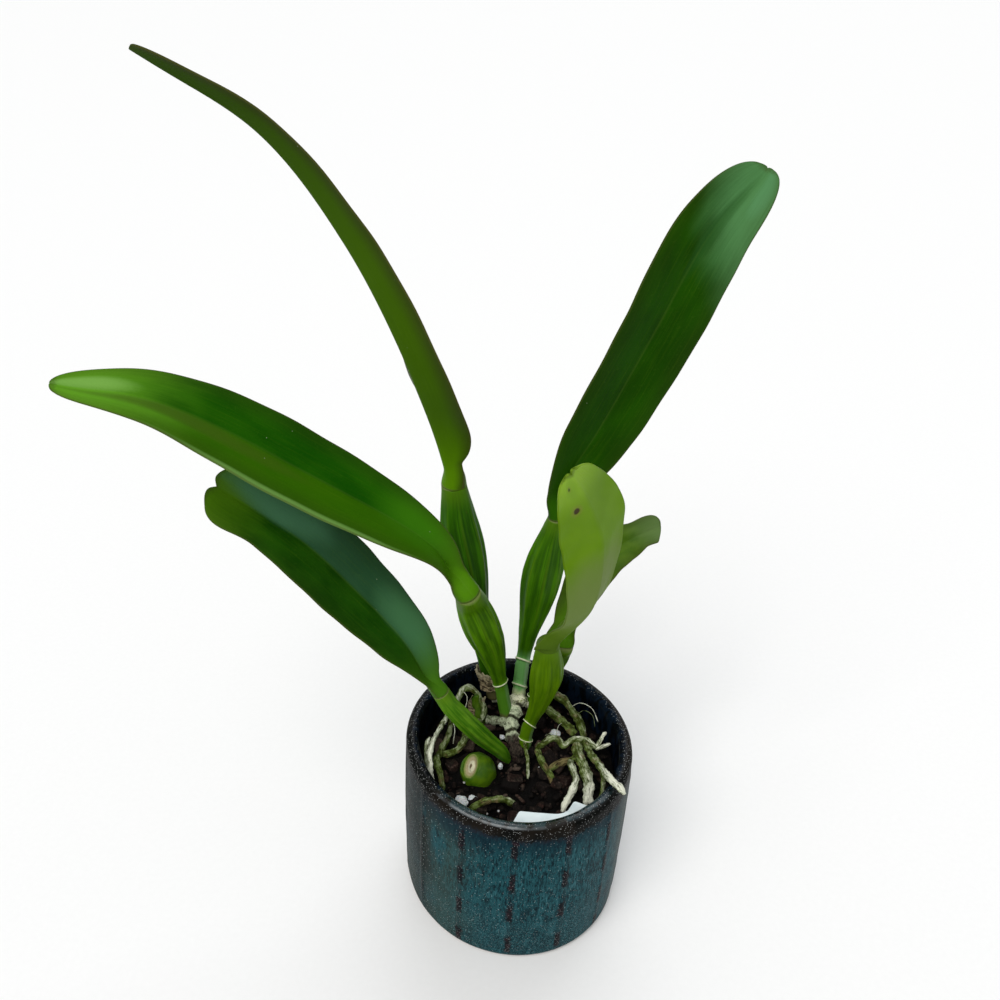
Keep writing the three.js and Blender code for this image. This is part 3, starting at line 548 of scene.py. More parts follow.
def bark():
    """Dark wet bark, with painted shade that turns it near black down between the chips and on the
    bed. Long grain lightens it, and each chip has its own share of red and of grey."""
    finish = Finish("bark_mix", (0.005, 0.0035, 0.003), {"Specular IOR Level": 0.12})
    tint, lift, edge = finish.carried("tint", "lift", "edge")
    fibre = finish.noise(1.1, 5, 0.75, 0.8, (1.6, 0.6, 2.2))
    patch = finish.noise(5, 3)
    red = finish.noise(13).step(0.42, 0.58)
    finish.coat(tint.step(0.2, 0.75), finish.mix(red, (0.026, 0.019, 0.014), (0.038, 0.016, 0.012)))
    finish.coat((tint + patch * 0.3).step(0.8, 1.05), (0.1, 0.072, 0.055))
    finish.coat(fibre.step(0.52, 0.68) * 0.7 * tint, (0.21, 0.15, 0.12))
    worn = edge * fibre.step(0.42, 0.58) * tint.step(0.1, 0.6)
    finish.coat(worn * 0.55, (0.26, 0.19, 0.15))
    finish.coat(fibre.step(0.5, 0.34) * 0.8, (0.002, 0.0012, 0.001))
    # painted shade: the bed and the low parts of the chips near black, where shade falls between them
    finish.coat(lift.frayed(patch, 2.4).step(2.4, 0) * 0.93, (0.0015, 0.001, 0.0008))
    return finish.apply(0.55 + fibre * 0.3, fibre, 0.9)


piece("bark_mix", [
    bed_shell(),
    *chip_shells(large_chips(), 16, 22, 0.42, 21),
    *chip_shells(propping_chip(), 16, 22, 0.42, 26),
    *chip_shells(small_chips(330, ((4, 8.5), (3, 5.5), (1.8, 3.6)), 0.2, 22), 7, 10, 0.5, 23),
    *chip_shells(small_chips(420, ((1.4, 3.6), (1, 2.2), (0.7, 1.5)), 0.75, 24), 5, 7, 0.6, 25),
], bark(), ["potting_mix"])

# ---------------------------------------------------------------------------------------------
# Perlite: light volcanic grains, puffed up white and full of burst bubbles, left among the bark.
# The five grains that show well are pieces of their own, and crumbs of it lie all over the bed.

# each grain: its middle, its radius and its height as a share of its width
BEADS = (
    ((-26.3, -27.8, 87.4), 2.5, 0.9),
    ((-32.8, -32.4, 91), 3.6, 0.85),
    ((-9.4, -4.6, 86.8), 1.4, 1.7),
    ((24.3, 16.5, 90), 3.0, 0.8),
    ((-6.8, 15.8, 88), 1.6, 0.85),
)
CRUMB_COUNT = 18
CRUMB_REACH = 50.0


def grain_shell(middle, radius, tall, rows, columns, index):
    """A lumpy ball: waves pull its radius in and out, and grain pits it."""
    lift = np.radians(np.linspace(-86, 86, rows))[:, None]
    turn = around(columns)
    way = rings(np.cos(lift), turn, np.sin(lift))
    lump = (1 + 0.09 * np.sin(4 * way[..., 0] + index) * np.cos(5 * way[..., 1] - index)
            + 0.05 * np.sin(7 * way[..., 2]))
    pits = 1 - 0.09 * np.abs(grain(way + 3 * index, 0.35, 31)) + 0.05 * grain(way + 5 * index, 0.16, 32)
    return shell(way * (radius * lump * pits)[..., None] * (1, 1, tall) + np.array(middle))


def crumb_shells():
    """Crumbs scattered evenly over the bed, each lying on it."""
    random = np.random.default_rng(33)
    for index in range(CRUMB_COUNT):
        reach, angle = CRUMB_REACH * math.sqrt(random.uniform()), random.uniform(0, 2 * math.pi)
        x, y = reach * math.cos(angle), reach * math.sin(angle)
        size = random.uniform(0.35, 0.8)
        yield grain_shell((x, y, mix_height(x, y) + 1.4 + size), size, 0.85, 6, 8, index)


def perlite():
    """Chalky white with grey pits, and a brown stain low down where the bark has dyed it."""
    finish = Finish("perlite", (0.42, 0.45, 0.46), {
        "Specular IOR Level": 0.3, "Subsurface Weight": 0.08, "Subsurface Scale": 0.001})
    pits = finish.noise(0.5, 4, 0.7)
    finish.coat(pits.step(0.36, 0.6), (0.84, 0.87, 0.88))
    dyed = finish.axes()[2] + finish.noise(2.2) * 3
    finish.coat(dyed.step(MIX_LEVEL + 4.4, MIX_LEVEL + 2.4) * 0.35, (0.22, 0.15, 0.09))
    return finish.apply(0.8 + pits * 0.15, pits, 0.35)


white_grain = perlite()
for index, bead in enumerate(BEADS):
    piece(f"perlite_grain_{index + 1}", [grain_shell(*bead, 28, 40, index)], white_grain,
          [f"perlite_{index + 1}"])
piece("perlite_crumbs", list(crumb_shells()), white_grain)

# ---------------------------------------------------------------------------------------------
# The plant label: a blank strip of white plastic pushed flat under the rim, with its free end
# bent up. It has rounded corners and the faint scuffs of handling.

LABEL_RUN = ((-4.8, -41.4, 88.6), (10, -42.8, 88.4), (19.5, -43.4, 88.8), (25.6, -42.4, 91.2),
             (31, -39.8, 98))
LABEL_WIDTH = 9.5
LABEL_THICKNESS = 0.8
LABEL_SLANT = 0.5
LABEL_LIES = (0.1, 0.98, 0.17)
LABEL_ENDS = (-0.8, 0.35, -0.2)
LABEL_CORNER = 0.9
LABEL_SIDES = 40


def catmull_rom(points, t):
    """Points of a centripetal Catmull-Rom curve: t runs evenly from point to point, 0 to 1. Each
    stretch is a cubic whose end slopes come from the square roots of the chords round it."""
    points = np.asarray(points, float)
    knots = np.vstack([2 * points[0] - points[1], points, 2 * points[-1] - points[-2]])
    place = np.clip(t, 0, 1) * (len(points) - 1)
    first = np.minimum(place.astype(int), len(points) - 2)
    u = (place - first)[:, None]
    a, b, c, d = (knots[first + k] for k in range(4))
    before, between, after = (
        np.sqrt(np.linalg.norm(q - p, axis=1))[:, None] for p, q in ((a, b), (b, c), (c, d)))
    leave = ((b - a) / before - (c - a) / (before + between) + (c - b) / between) * between
    reach = ((c - b) / between - (d - b) / (between + after) + (d - c) / after) * between
    return b + leave * u + (3 * (c - b) - 2 * leave - reach) * u**2 + (2 * (b - c) + leave + reach) * u**3


def follow(points, shares):
    """Points and directions at those shares of the curve's length."""
    t = np.linspace(0, 1, 800)
    fine = catmull_rom(points, t)
    length = np.r_[0, np.cumsum(np.linalg.norm(np.diff(fine, axis=0), axis=1))]

    def at(share):
        return catmull_rom(points, np.interp(share * length[-1], length, t))

    step = 1e-3
    direction = at(np.minimum(shares + step, 1)) - at(np.maximum(shares - step, 0))
    return at(shares), direction / np.linalg.norm(direction, axis=1, keepdims=True)


def square_to(tangent, towards):
    """The direction `towards`, made square to each tangent."""
    across = towards - (tangent * towards).sum(1, keepdims=True) * tangent
    return across / np.linalg.norm(across, axis=1, keepdims=True)


def label_shell():
    """A flat rounded section carried along the strip's bend, turned up more towards its free end,
    and narrowed at both ends by a quarter circle, which rounds the corners."""
    shares = np.r_[0, 0.004, 0.012, 0.025, 0.045, np.linspace(0.07, 0.93, 44),
                   0.955, 0.975, 0.988, 0.996, 1]
    centre, tangent = follow(LABEL_RUN, shares)
    bent = smooth(0.5, 1, shares)[:, None]
    inward = square_to(tangent, np.array(LABEL_LIES) * (1 - bent) + np.array(LABEL_ENDS) * bent)
    normal = np.cross(tangent, inward)
    from_end = np.minimum(np.minimum(shares, 1 - shares) / 0.025, 1)
    half = LABEL_WIDTH / 2 - LABEL_CORNER * (1 - np.sqrt(1 - (1 - from_end) ** 2))
    turn = around(LABEL_SIDES)
    wide = half[:, None] * squared_off(np.cos(turn), 0.3)
    thick = squared_off(np.sin(turn), 0.6) * LABEL_THICKNESS / 2
    slant = LABEL_SLANT * (1 - smooth(0, 0.3, shares) - smooth(0.7, 1, shares))[:, None] * wide
    return shell(centre[:, None] + inward[:, None] * wide[..., None] + normal[:, None] * thick[:, None]
                 + tangent[:, None] * slant[..., None])


def label_plastic():
    """White plastic, faintly blue, with fine scuffs along it and a little dust."""
    finish = Finish("label_plastic", (0.8, 0.9, 0.93), {"Specular IOR Level": 0.45})
    scuffs = finish.noise(1.1, 4, 0.7, scales=(0.25, 1.4, 1))
    finish.coat(finish.noise(7, 4, 0.6).step(0.45, 0.75) * 0.5, (0.6, 0.72, 0.76))
    return finish.apply(0.35 + scuffs * 0.25, scuffs, 0.05)


piece("blank_label", [label_shell()], label_plastic(), ["plant_label"])

# ---------------------------------------------------------------------------------------------
# The rhizome: the woody creeping stem that joins the pseudobulbs. It is knobbly, ringed by the
# scars of old scale leaves, grey-green and cream where it is young and brown where it is old.

RHIZOME_RUN = ((1, -1, 76), (1, 5, 82.5), (0, 13, 87), (-1, 23, 91), (2, 32, 95), (5.5, 41, 97.5))
RHIZOME_RADIUS = 4.3
RHIZOME_KNOB = 0.12
RHIZOME_RINGS = 6
RHIZOME_RING_DEPTH = 0.2
RHIZOME_SIDES, RHIZOME_ROWS = 48, 150
SHOOT_SIDES, SHOOT_ROWS = 32, 50
# each side shoot: its run and its radius
RHIZOME_SHOOTS = (
    (((-1, 24, 91), (-8, 26, 90.5), (-15, 28.5, 89)), 2.6),
    (((2, 33, 95), (-4, 38, 96), (-10, 41, 95.5)), 3.4),
    (((4, 37, 96), (8, 38, 94.5), (13, 38, 92)), 3.2),
)
STEM_BROAD = (0.31, 0.23, 1)  # the way that a round stem's first point looks


def tube(points, shares, sides, broad, radius, thin=1.0, end_way=None):
    """Rings carried along a curve. `radius` takes the shares as a column and the angles as a row,
    `thin` is the narrow side's share of the broad one, and the last ring may face `end_way`."""
    centre, tangent = follow(points, shares)
    if end_way is not None:
        tangent[shares == 1] = end_way
    across = square_to(tangent, np.asarray(broad, float))
    through = np.cross(tangent, across)
    turn = around(sides)
    reach = radius(shares[:, None], turn)
    narrow = reach * np.broadcast_to(thin, (len(shares), 1)) * np.sin(turn)
    return (centre[:, None] + across[:, None] * (reach * np.cos(turn))[..., None]
            + through[:, None] * narrow[..., None])


def outward(skin):
    """The direction of each point from the middle of its ring."""
    away = skin - skin.mean(1, keepdims=True)
    return away / (np.linalg.norm(away, axis=-1, keepdims=True) + 1e-9)


def roughened(skin, coarse, fine, seed):
    """A skin pushed out and in from its rings' middles by coarse and fine grain: each is a depth
    and a cell in millimetres."""
    push = coarse[0] * grain(skin, coarse[1], seed) + fine[0] * grain(skin, fine[1], seed + 1)
    return skin + outward(skin) * push[..., None]


def rhizome_shells():
    """The main stem has a saw-toothed ring at each scar, and its side shoots swell and narrow."""

    def scars(s):
        phase = (RHIZOME_RINGS * s) % 1
        return 0.5 + 0.5 * np.cos(2 * np.pi * phase) - 0.35 * bell(phase - 0.5, 0.09)

    def main(s, turn):
        knobs = 1 + RHIZOME_KNOB * np.sin(3 * turn + 11 * s) - RHIZOME_RING_DEPTH * 1.5 * scars(s)
        return RHIZOME_RADIUS * knobs * (1 - 0.35 * smooth(0.97, 1, s))

    shares = np.linspace(0, 1, RHIZOME_ROWS)
    skin = tube(RHIZOME_RUN, shares, RHIZOME_SIDES, (1, 0, 0), main)
    skin = roughened(skin, (0.45, 2.6), (0.22, 0.9), 41)
    shells = [shell(skin, {"scar": smooth(0.72, 0.98, scars(shares))[:, None]})]
    for number, (run, radius) in enumerate(RHIZOME_SHOOTS):
        skin = tube(run, np.linspace(0, 1, SHOOT_ROWS), SHOOT_SIDES, STEM_BROAD,
                    lambda s, turn: radius * (1 + RHIZOME_RING_DEPTH * 0.5 * np.cos(18 * s)) + 0 * turn)
        shells.append(shell(roughened(skin, (0.35, 2.2), (0.18, 0.8), 43 + number), {"scar": 0.42}))
    return shells


def rhizome_skin():
    """Cream and lumpy on the young knob at the back, grey-green under a brown net on the next one,
    and fibrous purple-brown towards the front and down in the bark."""
    finish = Finish("rhizome_skin", (0.16, 0.22, 0.11), {"Specular IOR Level": 0.12})
    _, y, _ = finish.axes()
    fibre = finish.noise(1.1, 5, 0.7, 0.6, (1.7, 0.5, 0.9))
    patch = finish.noise(3.2, 3, 0.6)
    net = finish.noise(1.8, 4, 0.7, 1.2, (1, 0.7, 1))
    cream = finish.mix(patch.step(0.3, 0.46), (0.36, 0.4, 0.18), (0.95, 0.95, 0.7))
    finish.coat(patch.step(0.3, 0.5), (0.7, 0.78, 0.54))
    scar = finish.carried("scar")[0] + (fibre - 0.5) * 0.8
    finish.coat((y + patch * 6).step(31, 36), cream)
    finish.coat(scar.step(0.1, 0.6) * 0.8, (0.1, 0.12, 0.06))
    finish.coat(scar.step(0.7, 1.0) * 0.9, (0.012, 0.01, 0.005))
    finish.coat(net.step(0.48, 0.4) * 0.8, (0.05, 0.042, 0.022))
    finish.coat(fibre.step(0.6, 0.75) * 0.5, (0.7, 0.68, 0.5))
    brown = finish.mix(fibre.step(0.36, 0.7), (0.008, 0.006, 0.004), (0.11, 0.085, 0.065))
    finish.coat((y + patch * 7).step(21, 15.5), brown)
    return finish.apply(0.65 + fibre * 0.25, fibre * 0.6 + net * 0.8, 1.1)


piece("rhizome_stem", rhizome_shells(), rhizome_skin(), ["rhizome"])

# ---------------------------------------------------------------------------------------------
# The leaves: one stiff strap to each pseudobulb, folded along its midrib into a V that is steep
# in the short stalk and opens in the blade. Its skin is thick, waxy and finely lined along it.

LEAF_LANES = 37
LEAF_STALK = 0.06
LEAF_STALK_WIDTH = 9.5
LEAF_STALK_FOLD = 58.0
LEAF_UNFOLDED = 0.26
LEAF_CURL = 0.06
LEAF_MIDDLE = 2.2
LEAF_EDGE = 0.9
LEAF_FOOT = 0.085
LEAF_FOOT_SPAN = 86.0
LEAF_WING = (0.02, 0.035, 0.09)

# each leaf: its midrib, the way that its upper side faces, its shape, and the colours of its skin, painted
# sheen and shade among them
LEAVES = (
    dict(midrib=((-42, 44, 241), (-41.5, 43, 252), (-58.5, 31, 313), (-87.5, 37, 373),
                 (-121.5, 33, 421), (-167, 23, 452)),
         faces=(0.8, 0.3, 0.5), half_width=21, fold=25, roll=(17, 12, 6), widest=0.5, blunt=0.56,
         tip=0.17, notch=0.5, joint=6.8, wave=0.3,
         skin=dict(deep=(0.02, 0.062, 0.001), fresh=(0.045, 0.11, 0.001), under=(0.04, 0.1, 0.001),
                   foot=(0.085, 0.21, 0.001), tip=(0.02, 0.05, 0.001), tip_at=(0.45, 1, 0),
                   shade=0.65, waxy=0.02)),
    dict(midrib=((-33.5, 22, 192), (-38.5, 21, 202), (-50, 14, 226), (-108, 10, 269),
                 (-171, 0, 312), (-213.8, -7, 324)),
         faces=(0, -0.5, 0.86), half_width=20.5, fold=15, roll=(-8, -1, -1), widest=1.0, blunt=0.6,
         tip=0.06, notch=0.3, joint=7, wave=0.5,
         # leaf 2: the lighter lower half, the pale tip and most of the patches are painted sheen
         skin=dict(deep=(0.006, 0.068, 0.0005), fresh=(0.014, 0.095, 0.001), under=(0.035, 0.1, 0.002),
                   foot=(0.07, 0.2, 0.004), tip=(0.11, 0.31, 0.014), tip_at=(0.7, 0.95, 0),
                   light=(-1, (0.034, 0.125, 0.001)), waxy=0.02,
                   sheens_and_blooms=((0.17, 0.4, 0.15, 0.9, (0.04, 0.17, 0.004), 0.9),
                           (0.94, 0.3, 0.09, 0.35, (0.2, 0.42, 0.08), 0.8),
                           (0.72, -0.25, 0.25, 0.22, (0.05, 0.11, 0.006), 0.75),
                           (0.5, -0.98, 0.3, 0.09, (0.2, 0.42, 0.09), 0.9)))),
    dict(midrib=((-48, -5, 144), (-51, -5, 150), (-63, 0, 173), (-89, 8, 202), (-114, 7, 233),
                 (-153, 11, 262)),
         faces=(0, -0.6, 0.8), half_width=21.3, fold=17, roll=(35, 13, -5), widest=0.9, blunt=0.42,
         tip=0.4, notch=3, joint=4.7, wave=0.6,
         # leaf 3: the lighter right half and both patches are painted sheen
         skin=dict(deep=(0.006, 0.045, 0.001), fresh=(0.013, 0.07, 0.002), under=(0.04, 0.1, 0.01),
                   foot=(0.05, 0.15, 0.006), tip=(0.06, 0.15, 0.004), tip_at=(0.78, 1, 0),
                   light=(1, (0.024, 0.08, 0.036)), shade=0.15,
                   sheens_and_blooms=((0.8, 0.5, 0.18, 0.5, (0.06, 0.17, 0.085), 0.85),
                           (0.24, 0.5, 0.15, 0.55, (0.05, 0.15, 0.06), 0.9)))),
    dict(midrib=((18, 44, 226), (17.5, 44, 236), (35, 43, 276), (59, 55, 322), (82, 66, 367),
                 (112, 85.3, 395.5)),
         faces=(0, -0.87, 0.5), half_width=23.5, fold=18, roll=(-8, 28, -20), widest=1.0,
         blunt=0.43, tip=0.1, notch=0.5, joint=4.6, wave=0.4,
         # leaf 4: the pale tip and both patches are painted sheen, the darker patch the dark streak within
         # it
         skin=dict(deep=(0.008, 0.044, 0.0005), fresh=(0.011, 0.062, 0.0005), under=(0.03, 0.085, 0.004),
                   foot=(0.02, 0.085, 0.001), tip=(0.075, 0.215, 0.07), tip_at=(0.7, 0.9, 0.1),
                   shade=0.18, waxy=0.02,
                   sheens_and_blooms=((0.82, 0.02, 0.15, 0.2, (0.018, 0.08, 0.012), 0.6),
                           (0.95, 0.6, 0.08, 0.3, (0.09, 0.25, 0.1), 0.6)))),
    dict(midrib=((18, 8, 159), (18.5, 4, 171), (28, -16, 211), (25, -33, 257), (11, -61, 296),
                 (-3, -91, 328)),
         faces=(0, 0.8, 0.55), half_width=19.6, fold=16, roll=(37, 42, 45), widest=1.0, blunt=0.68,
         tip=0.12, notch=2, joint=6.3, wing=5, wave=0.5,
         # leaf 5: the broad grey patch on its lower part is painted sheen
         skin=dict(deep=(0.045, 0.14, 0.001), fresh=(0.1, 0.22, 0.0005), under=(0.135, 0.275, 0.0005),
                   foot=(0.075, 0.14, 0.012), tip=(0.27, 0.47, 0.03), tip_at=(0.78, 1, 0),
                   shade=0.0, waxy=0.01,
                   sheens_and_blooms=((0.3, 0, 0.22, 2, (0.16, 0.215, 0.065), 0.8),
                           (0.94, 0.3, 0.06, 0.3, (0.1, 0.22, 0.01), 0.3)),
                   spots=((0.81, 0.38, 2.3, (0.05, 0.035, 0.012)),
                          (0.94, 0.42, 1.1, (0.06, 0.12, 0.01))))),
    dict(midrib=((29, 34, 143), (29.5, 38, 151), (38, 54, 161), (53, 77, 169), (74, 97, 171),
                 (96, 115, 169)),
         faces=(0, -0.3, 0.95), half_width=14, fold=16, roll=(-20, -3, 25), widest=0.9, blunt=0.6,
         tip=0.42, notch=0, round=4, skew=-4, joint=5, wing=-6, wave=0.5,
         # leaf 6: the grey tip is painted sheen
         skin=dict(deep=(0.045, 0.11, 0.004), fresh=(0.075, 0.15, 0.008), under=(0.065, 0.13, 0.01),
                   foot=(0.05, 0.14, 0.003), tip=(0.12, 0.2, 0.06), tip_at=(0.7, 1, 0), waxy=0.02)),
)


def leaf_frame(leaf, shares):
    """The midrib's points and directions, with the blade's upper side and its right-hand side,
    rolled about the midrib by a parabola through the roll at the foot, the middle and the tip."""
    centre, tangent = follow(leaf["midrib"], shares)
    up = square_to(tangent, np.asarray(leaf["faces"], float))
    side = np.cross(tangent, up)
    s = shares[:, None]
    foot, middle, tip = leaf["roll"]
    turn = np.radians(foot * (1 - s) * (1 - 2 * s) + middle * 4 * s * (1 - s) + tip * s * (2 * s - 1))
    return centre, tangent, up * np.cos(turn) + side * np.sin(turn), side * np.cos(turn) - up * np.sin(turn)


def leaf_shell(leaf, seed):
    """The blade's half width is a power of a sine, its halves rise at the fold and its margins
    turn back. Both faces stand off that surface by half the thickness, the midrib is sunk above
    and keeled below, and the foot is drawn into the round end that stands on the pseudobulb."""
    shares = np.unique(np.r_[np.linspace(0, 0.12, 26), np.linspace(0.12, 0.86, 74),
                             np.linspace(0.86, 1, 40), 1 - 0.02 * np.linspace(0, 1, 12) ** 2])
    across = np.sin(np.linspace(-np.pi / 2, np.pi / 2, LEAF_LANES))
    across = np.sign(across) * (0.45 * np.abs(across) + 0.55 * np.abs(np.linspace(-1, 1, LEAF_LANES)))
    centre, tangent, up, side = (array[:, None] for array in leaf_frame(leaf, shares))
    s, v = shares[:, None], across[None, :]
    u = np.clip((s - LEAF_STALK) / (1 - LEAF_STALK), 1e-6, 1 - 1e-6)
    blade = leaf["half_width"] * (np.sin(np.pi * u ** leaf["widest"]) ** leaf["blunt"]
                                  + leaf["tip"] * smooth(0.8, 1, u))
    stalk = LEAF_STALK_WIDTH * (1 - smooth(0.1, 0.5, s))
    width = (blade**4 + stalk**4) ** 0.25
    fold = np.radians(LEAF_STALK_FOLD + (leaf["fold"] - LEAF_STALK_FOLD) * smooth(0, LEAF_UNFOLDED, s))
    rise = width * (np.sqrt(v * v + 0.01) - 0.1) * np.sin(fold) - LEAF_CURL * width * v**4
    rise = rise + leaf["wave"] * np.sin(31 * s + 2 * v + seed) * np.sin(13 * s + seed) * np.abs(v) ** 3
    lobe = leaf["notch"] * np.abs(np.sin(np.pi * v)) + leaf.get("skew", 0) * v
    lobe = (lobe + leaf.get("round", 0) * (1 - v * v)) * smooth(0.88, 1, s)
    middle = (centre + side * (width * v * np.cos(fold))[..., None] + up * rise[..., None]
              + tangent * lobe[..., None])
    lean = (fold * v / np.sqrt(v * v + 0.05))[..., None]
    out = up * np.cos(lean) - side * np.sin(lean)
    body = (1 - np.abs(v) ** 1.5) * (LEAF_MIDDLE - LEAF_EDGE) * (1 - smooth(0.8, 1, s))
    half = (LEAF_EDGE + body) / 2
    groove = bell(width * v, 0.9) * smooth(0.04, 0.15, s) * (1 - smooth(0.9, 1, s))
    begins, widest, ends = LEAF_WING
    winged = leaf.get("wing", 0)
    wing = winged * smooth(begins, widest, s) * (1 - smooth(widest, ends, s))
    wing = wing * np.maximum(0, np.sign(winged) * v) ** 2
    round_foot = (1 - smooth(0, LEAF_FOOT, s))[..., None]
    angle = (np.radians(LEAF_FOOT_SPAN) * v)[..., None]
    faces = []
    for way, ridge in ((1, -0.35), (-1, 0.45)):
        face = middle + out * (way * (half + ridge * groove))[..., None]
        foot = centre + leaf["joint"] * (side * np.sin(angle) + up * (1 + way * np.cos(angle)))
        faces.append(face * (1 - round_foot) + foot * round_foot + side * wing[..., None])
    upper, lower = faces

    def rounded(k, n):
        """The line along a margin, half the edge's thickness out from lane n to lane k."""
        out = upper[:, k] - upper[:, n]
        push = 0.4 * LEAF_EDGE / np.linalg.norm(out, axis=1, keepdims=True)
        return ((upper[:, k] + lower[:, k]) / 2 + out * push)[:, None]

    ring = np.concatenate([upper, rounded(-1, -2), lower[:, ::-1], rounded(0, 1)], 1)
    lanes = np.concatenate([across, [1], across[::-1], [-1]])
    sides = np.repeat([1, 0.5, 0, 0.5], [LEAF_LANES, 1, LEAF_LANES, 1])
    return shell(ring, {"along": s, "across": lanes, "above": sides}, zipped=True)


def leaf_finish(name, deep, fresh, under, foot, tip, tip_at, light=(0, None), shade=0.3,
                waxy=0.03, sheens_and_blooms=(), spots=()):
    """Waxy leaf skin. Patches cloud it and fine lines run along it, one half may carry a painted sheen,
    further patches tint parts of it, most of them painted sheen, the foot has its own colour, the tip
    a colour that is its own on some leaves and a painted sheen on others, and the margin has painted
    shade, then brown."""
    finish = Finish(name, deep, {"Specular IOR Level": waxy})
    along, across, above = finish.carried("along", "across", "above")
    lines = finish.noise(0.55, 3, 0.6, at=finish.vector(across * 22, along * 5, above * 9))
    cells = finish.noise(1.2, 3, 0.7)
    clouds = finish.noise(1, at=finish.vector(across * 1.6, along * 7, above * 3))
    cloudy = clouds.step(0.3, 0.7)
    finish.coat(cloudy, fresh)
    sheen_side, sheen_tone = light
    # painted sheen: one half of the blade made lighter, where light falls on it
    if sheen_side:
        finish.coat((across * sheen_side).step(-0.03, 0.08) * (0.55 + clouds * 0.6), sheen_tone)
    beneath = above.step(0.6, 0.4)
    finish.coat(beneath, finish.mix(cloudy * 0.5, under, fresh))
    finish.coat((lines - 0.5) * 0.3, (0.14, 0.26, 0.01))
    finish.coat(cells.step(0.55, 0.8) * 0.06, (0.2, 0.34, 0.04))
    tip_from, tip_to, slant = tip_at
    # the tip's colour: its own on some leaves, a painted sheen on leaves 2, 4 and 6
    tip_tone_and_sheen = (along + across * slant + (clouds - 0.5) * 0.1).step(tip_from, tip_to)
    finish.coat(tip_tone_and_sheen * (0.6 + lines * 0.6), tip)
    # patches: most are painted sheen, a few are the leaf's own marks
    for share, lane, length, width, tone, amount in sheens_and_blooms:
        near = ((along - share) * (1 / length)) ** 2 + ((across - lane) * (1 / width)) ** 2
        near = near + (clouds - 0.5) * 0.8 + (cells - 0.5) * 0.3
        finish.coat(near.step(1.5, 0) * amount, tone)
    finish.coat(along.frayed(lines, 0.06).step(0.22, 0.02), foot)
    off_rib = abs(across)
    finish.coat(off_rib.step(0.45, 1) * shade, (0.028, 0.032, 0.006))
    edge = off_rib.step(0.965, 0.998) * (shade + 0.2)
    finish.coat(edge, (0.07, 0.075, 0.018))
    finish.coat(along.frayed(cells, 0.02).step(0.982, 0.998) * 0.5, (0.04, 0.06, 0.01))
    finish.coat(off_rib.step(0.045, 0.01) * along.step(0.9, 0.6) * 0.08, (0.16, 0.26, 0.04))
    dots, luck = finish.specks(5.5, 0.06)
    finish.coat(dots * luck.step(0.86, 0.9) * 0.6, (0.45, 0.5, 0.35))
    marks = 0
    for share, lane, size, tone in spots:
        near = ((along - share) * 120) ** 2 + ((across - lane) * 20) ** 2
        ragged = near * (0.5 + finish.noise(1.4, 3) * 1.1)
        finish.coat(ragged.step((size * 2.1) ** 2, size**2) * 0.5, (0.2, 0.22, 0.03))
        mark = ragged.step(size**2 * 1.1, size**2 * 0.35)
        finish.coat(mark, tone)
        marks = mark + marks
    finish.coat(along.step(0.006, 0.0015) * 0.4, (0.16, 0.15, 0.05))
    roughness = 0.28 + cells * 0.08 + clouds * 0.08 + beneath * 0.08 + edge * 0.1
    return finish.apply(roughness, lines * 0.7 + cells * 0.25 - marks * 1.5, 0.13)


for index, leaf in enumerate(LEAVES):
    skin = leaf_finish(f"leaf_skin_{index + 1}", **leaf["skin"])
    piece(f"blade_{index + 1}", [leaf_shell(leaf, index)], skin, [f"leaf_{index + 1}"])

# ---------------------------------------------------------------------------------------------
# The pseudobulbs: water-storing stems that stand on the rhizome. Each is a bare stem that swells
# into a flattened club with lengthwise ribs, with a pale scar ring where a sheath was shed.

BULB_RIBS = 8
BULB_RIB_DEPTH = 0.12
BULB_RING = 0.7
BULB_RING_WIDTH = 0.012
BULB_SIDES, BULB_ROWS = 96, 150

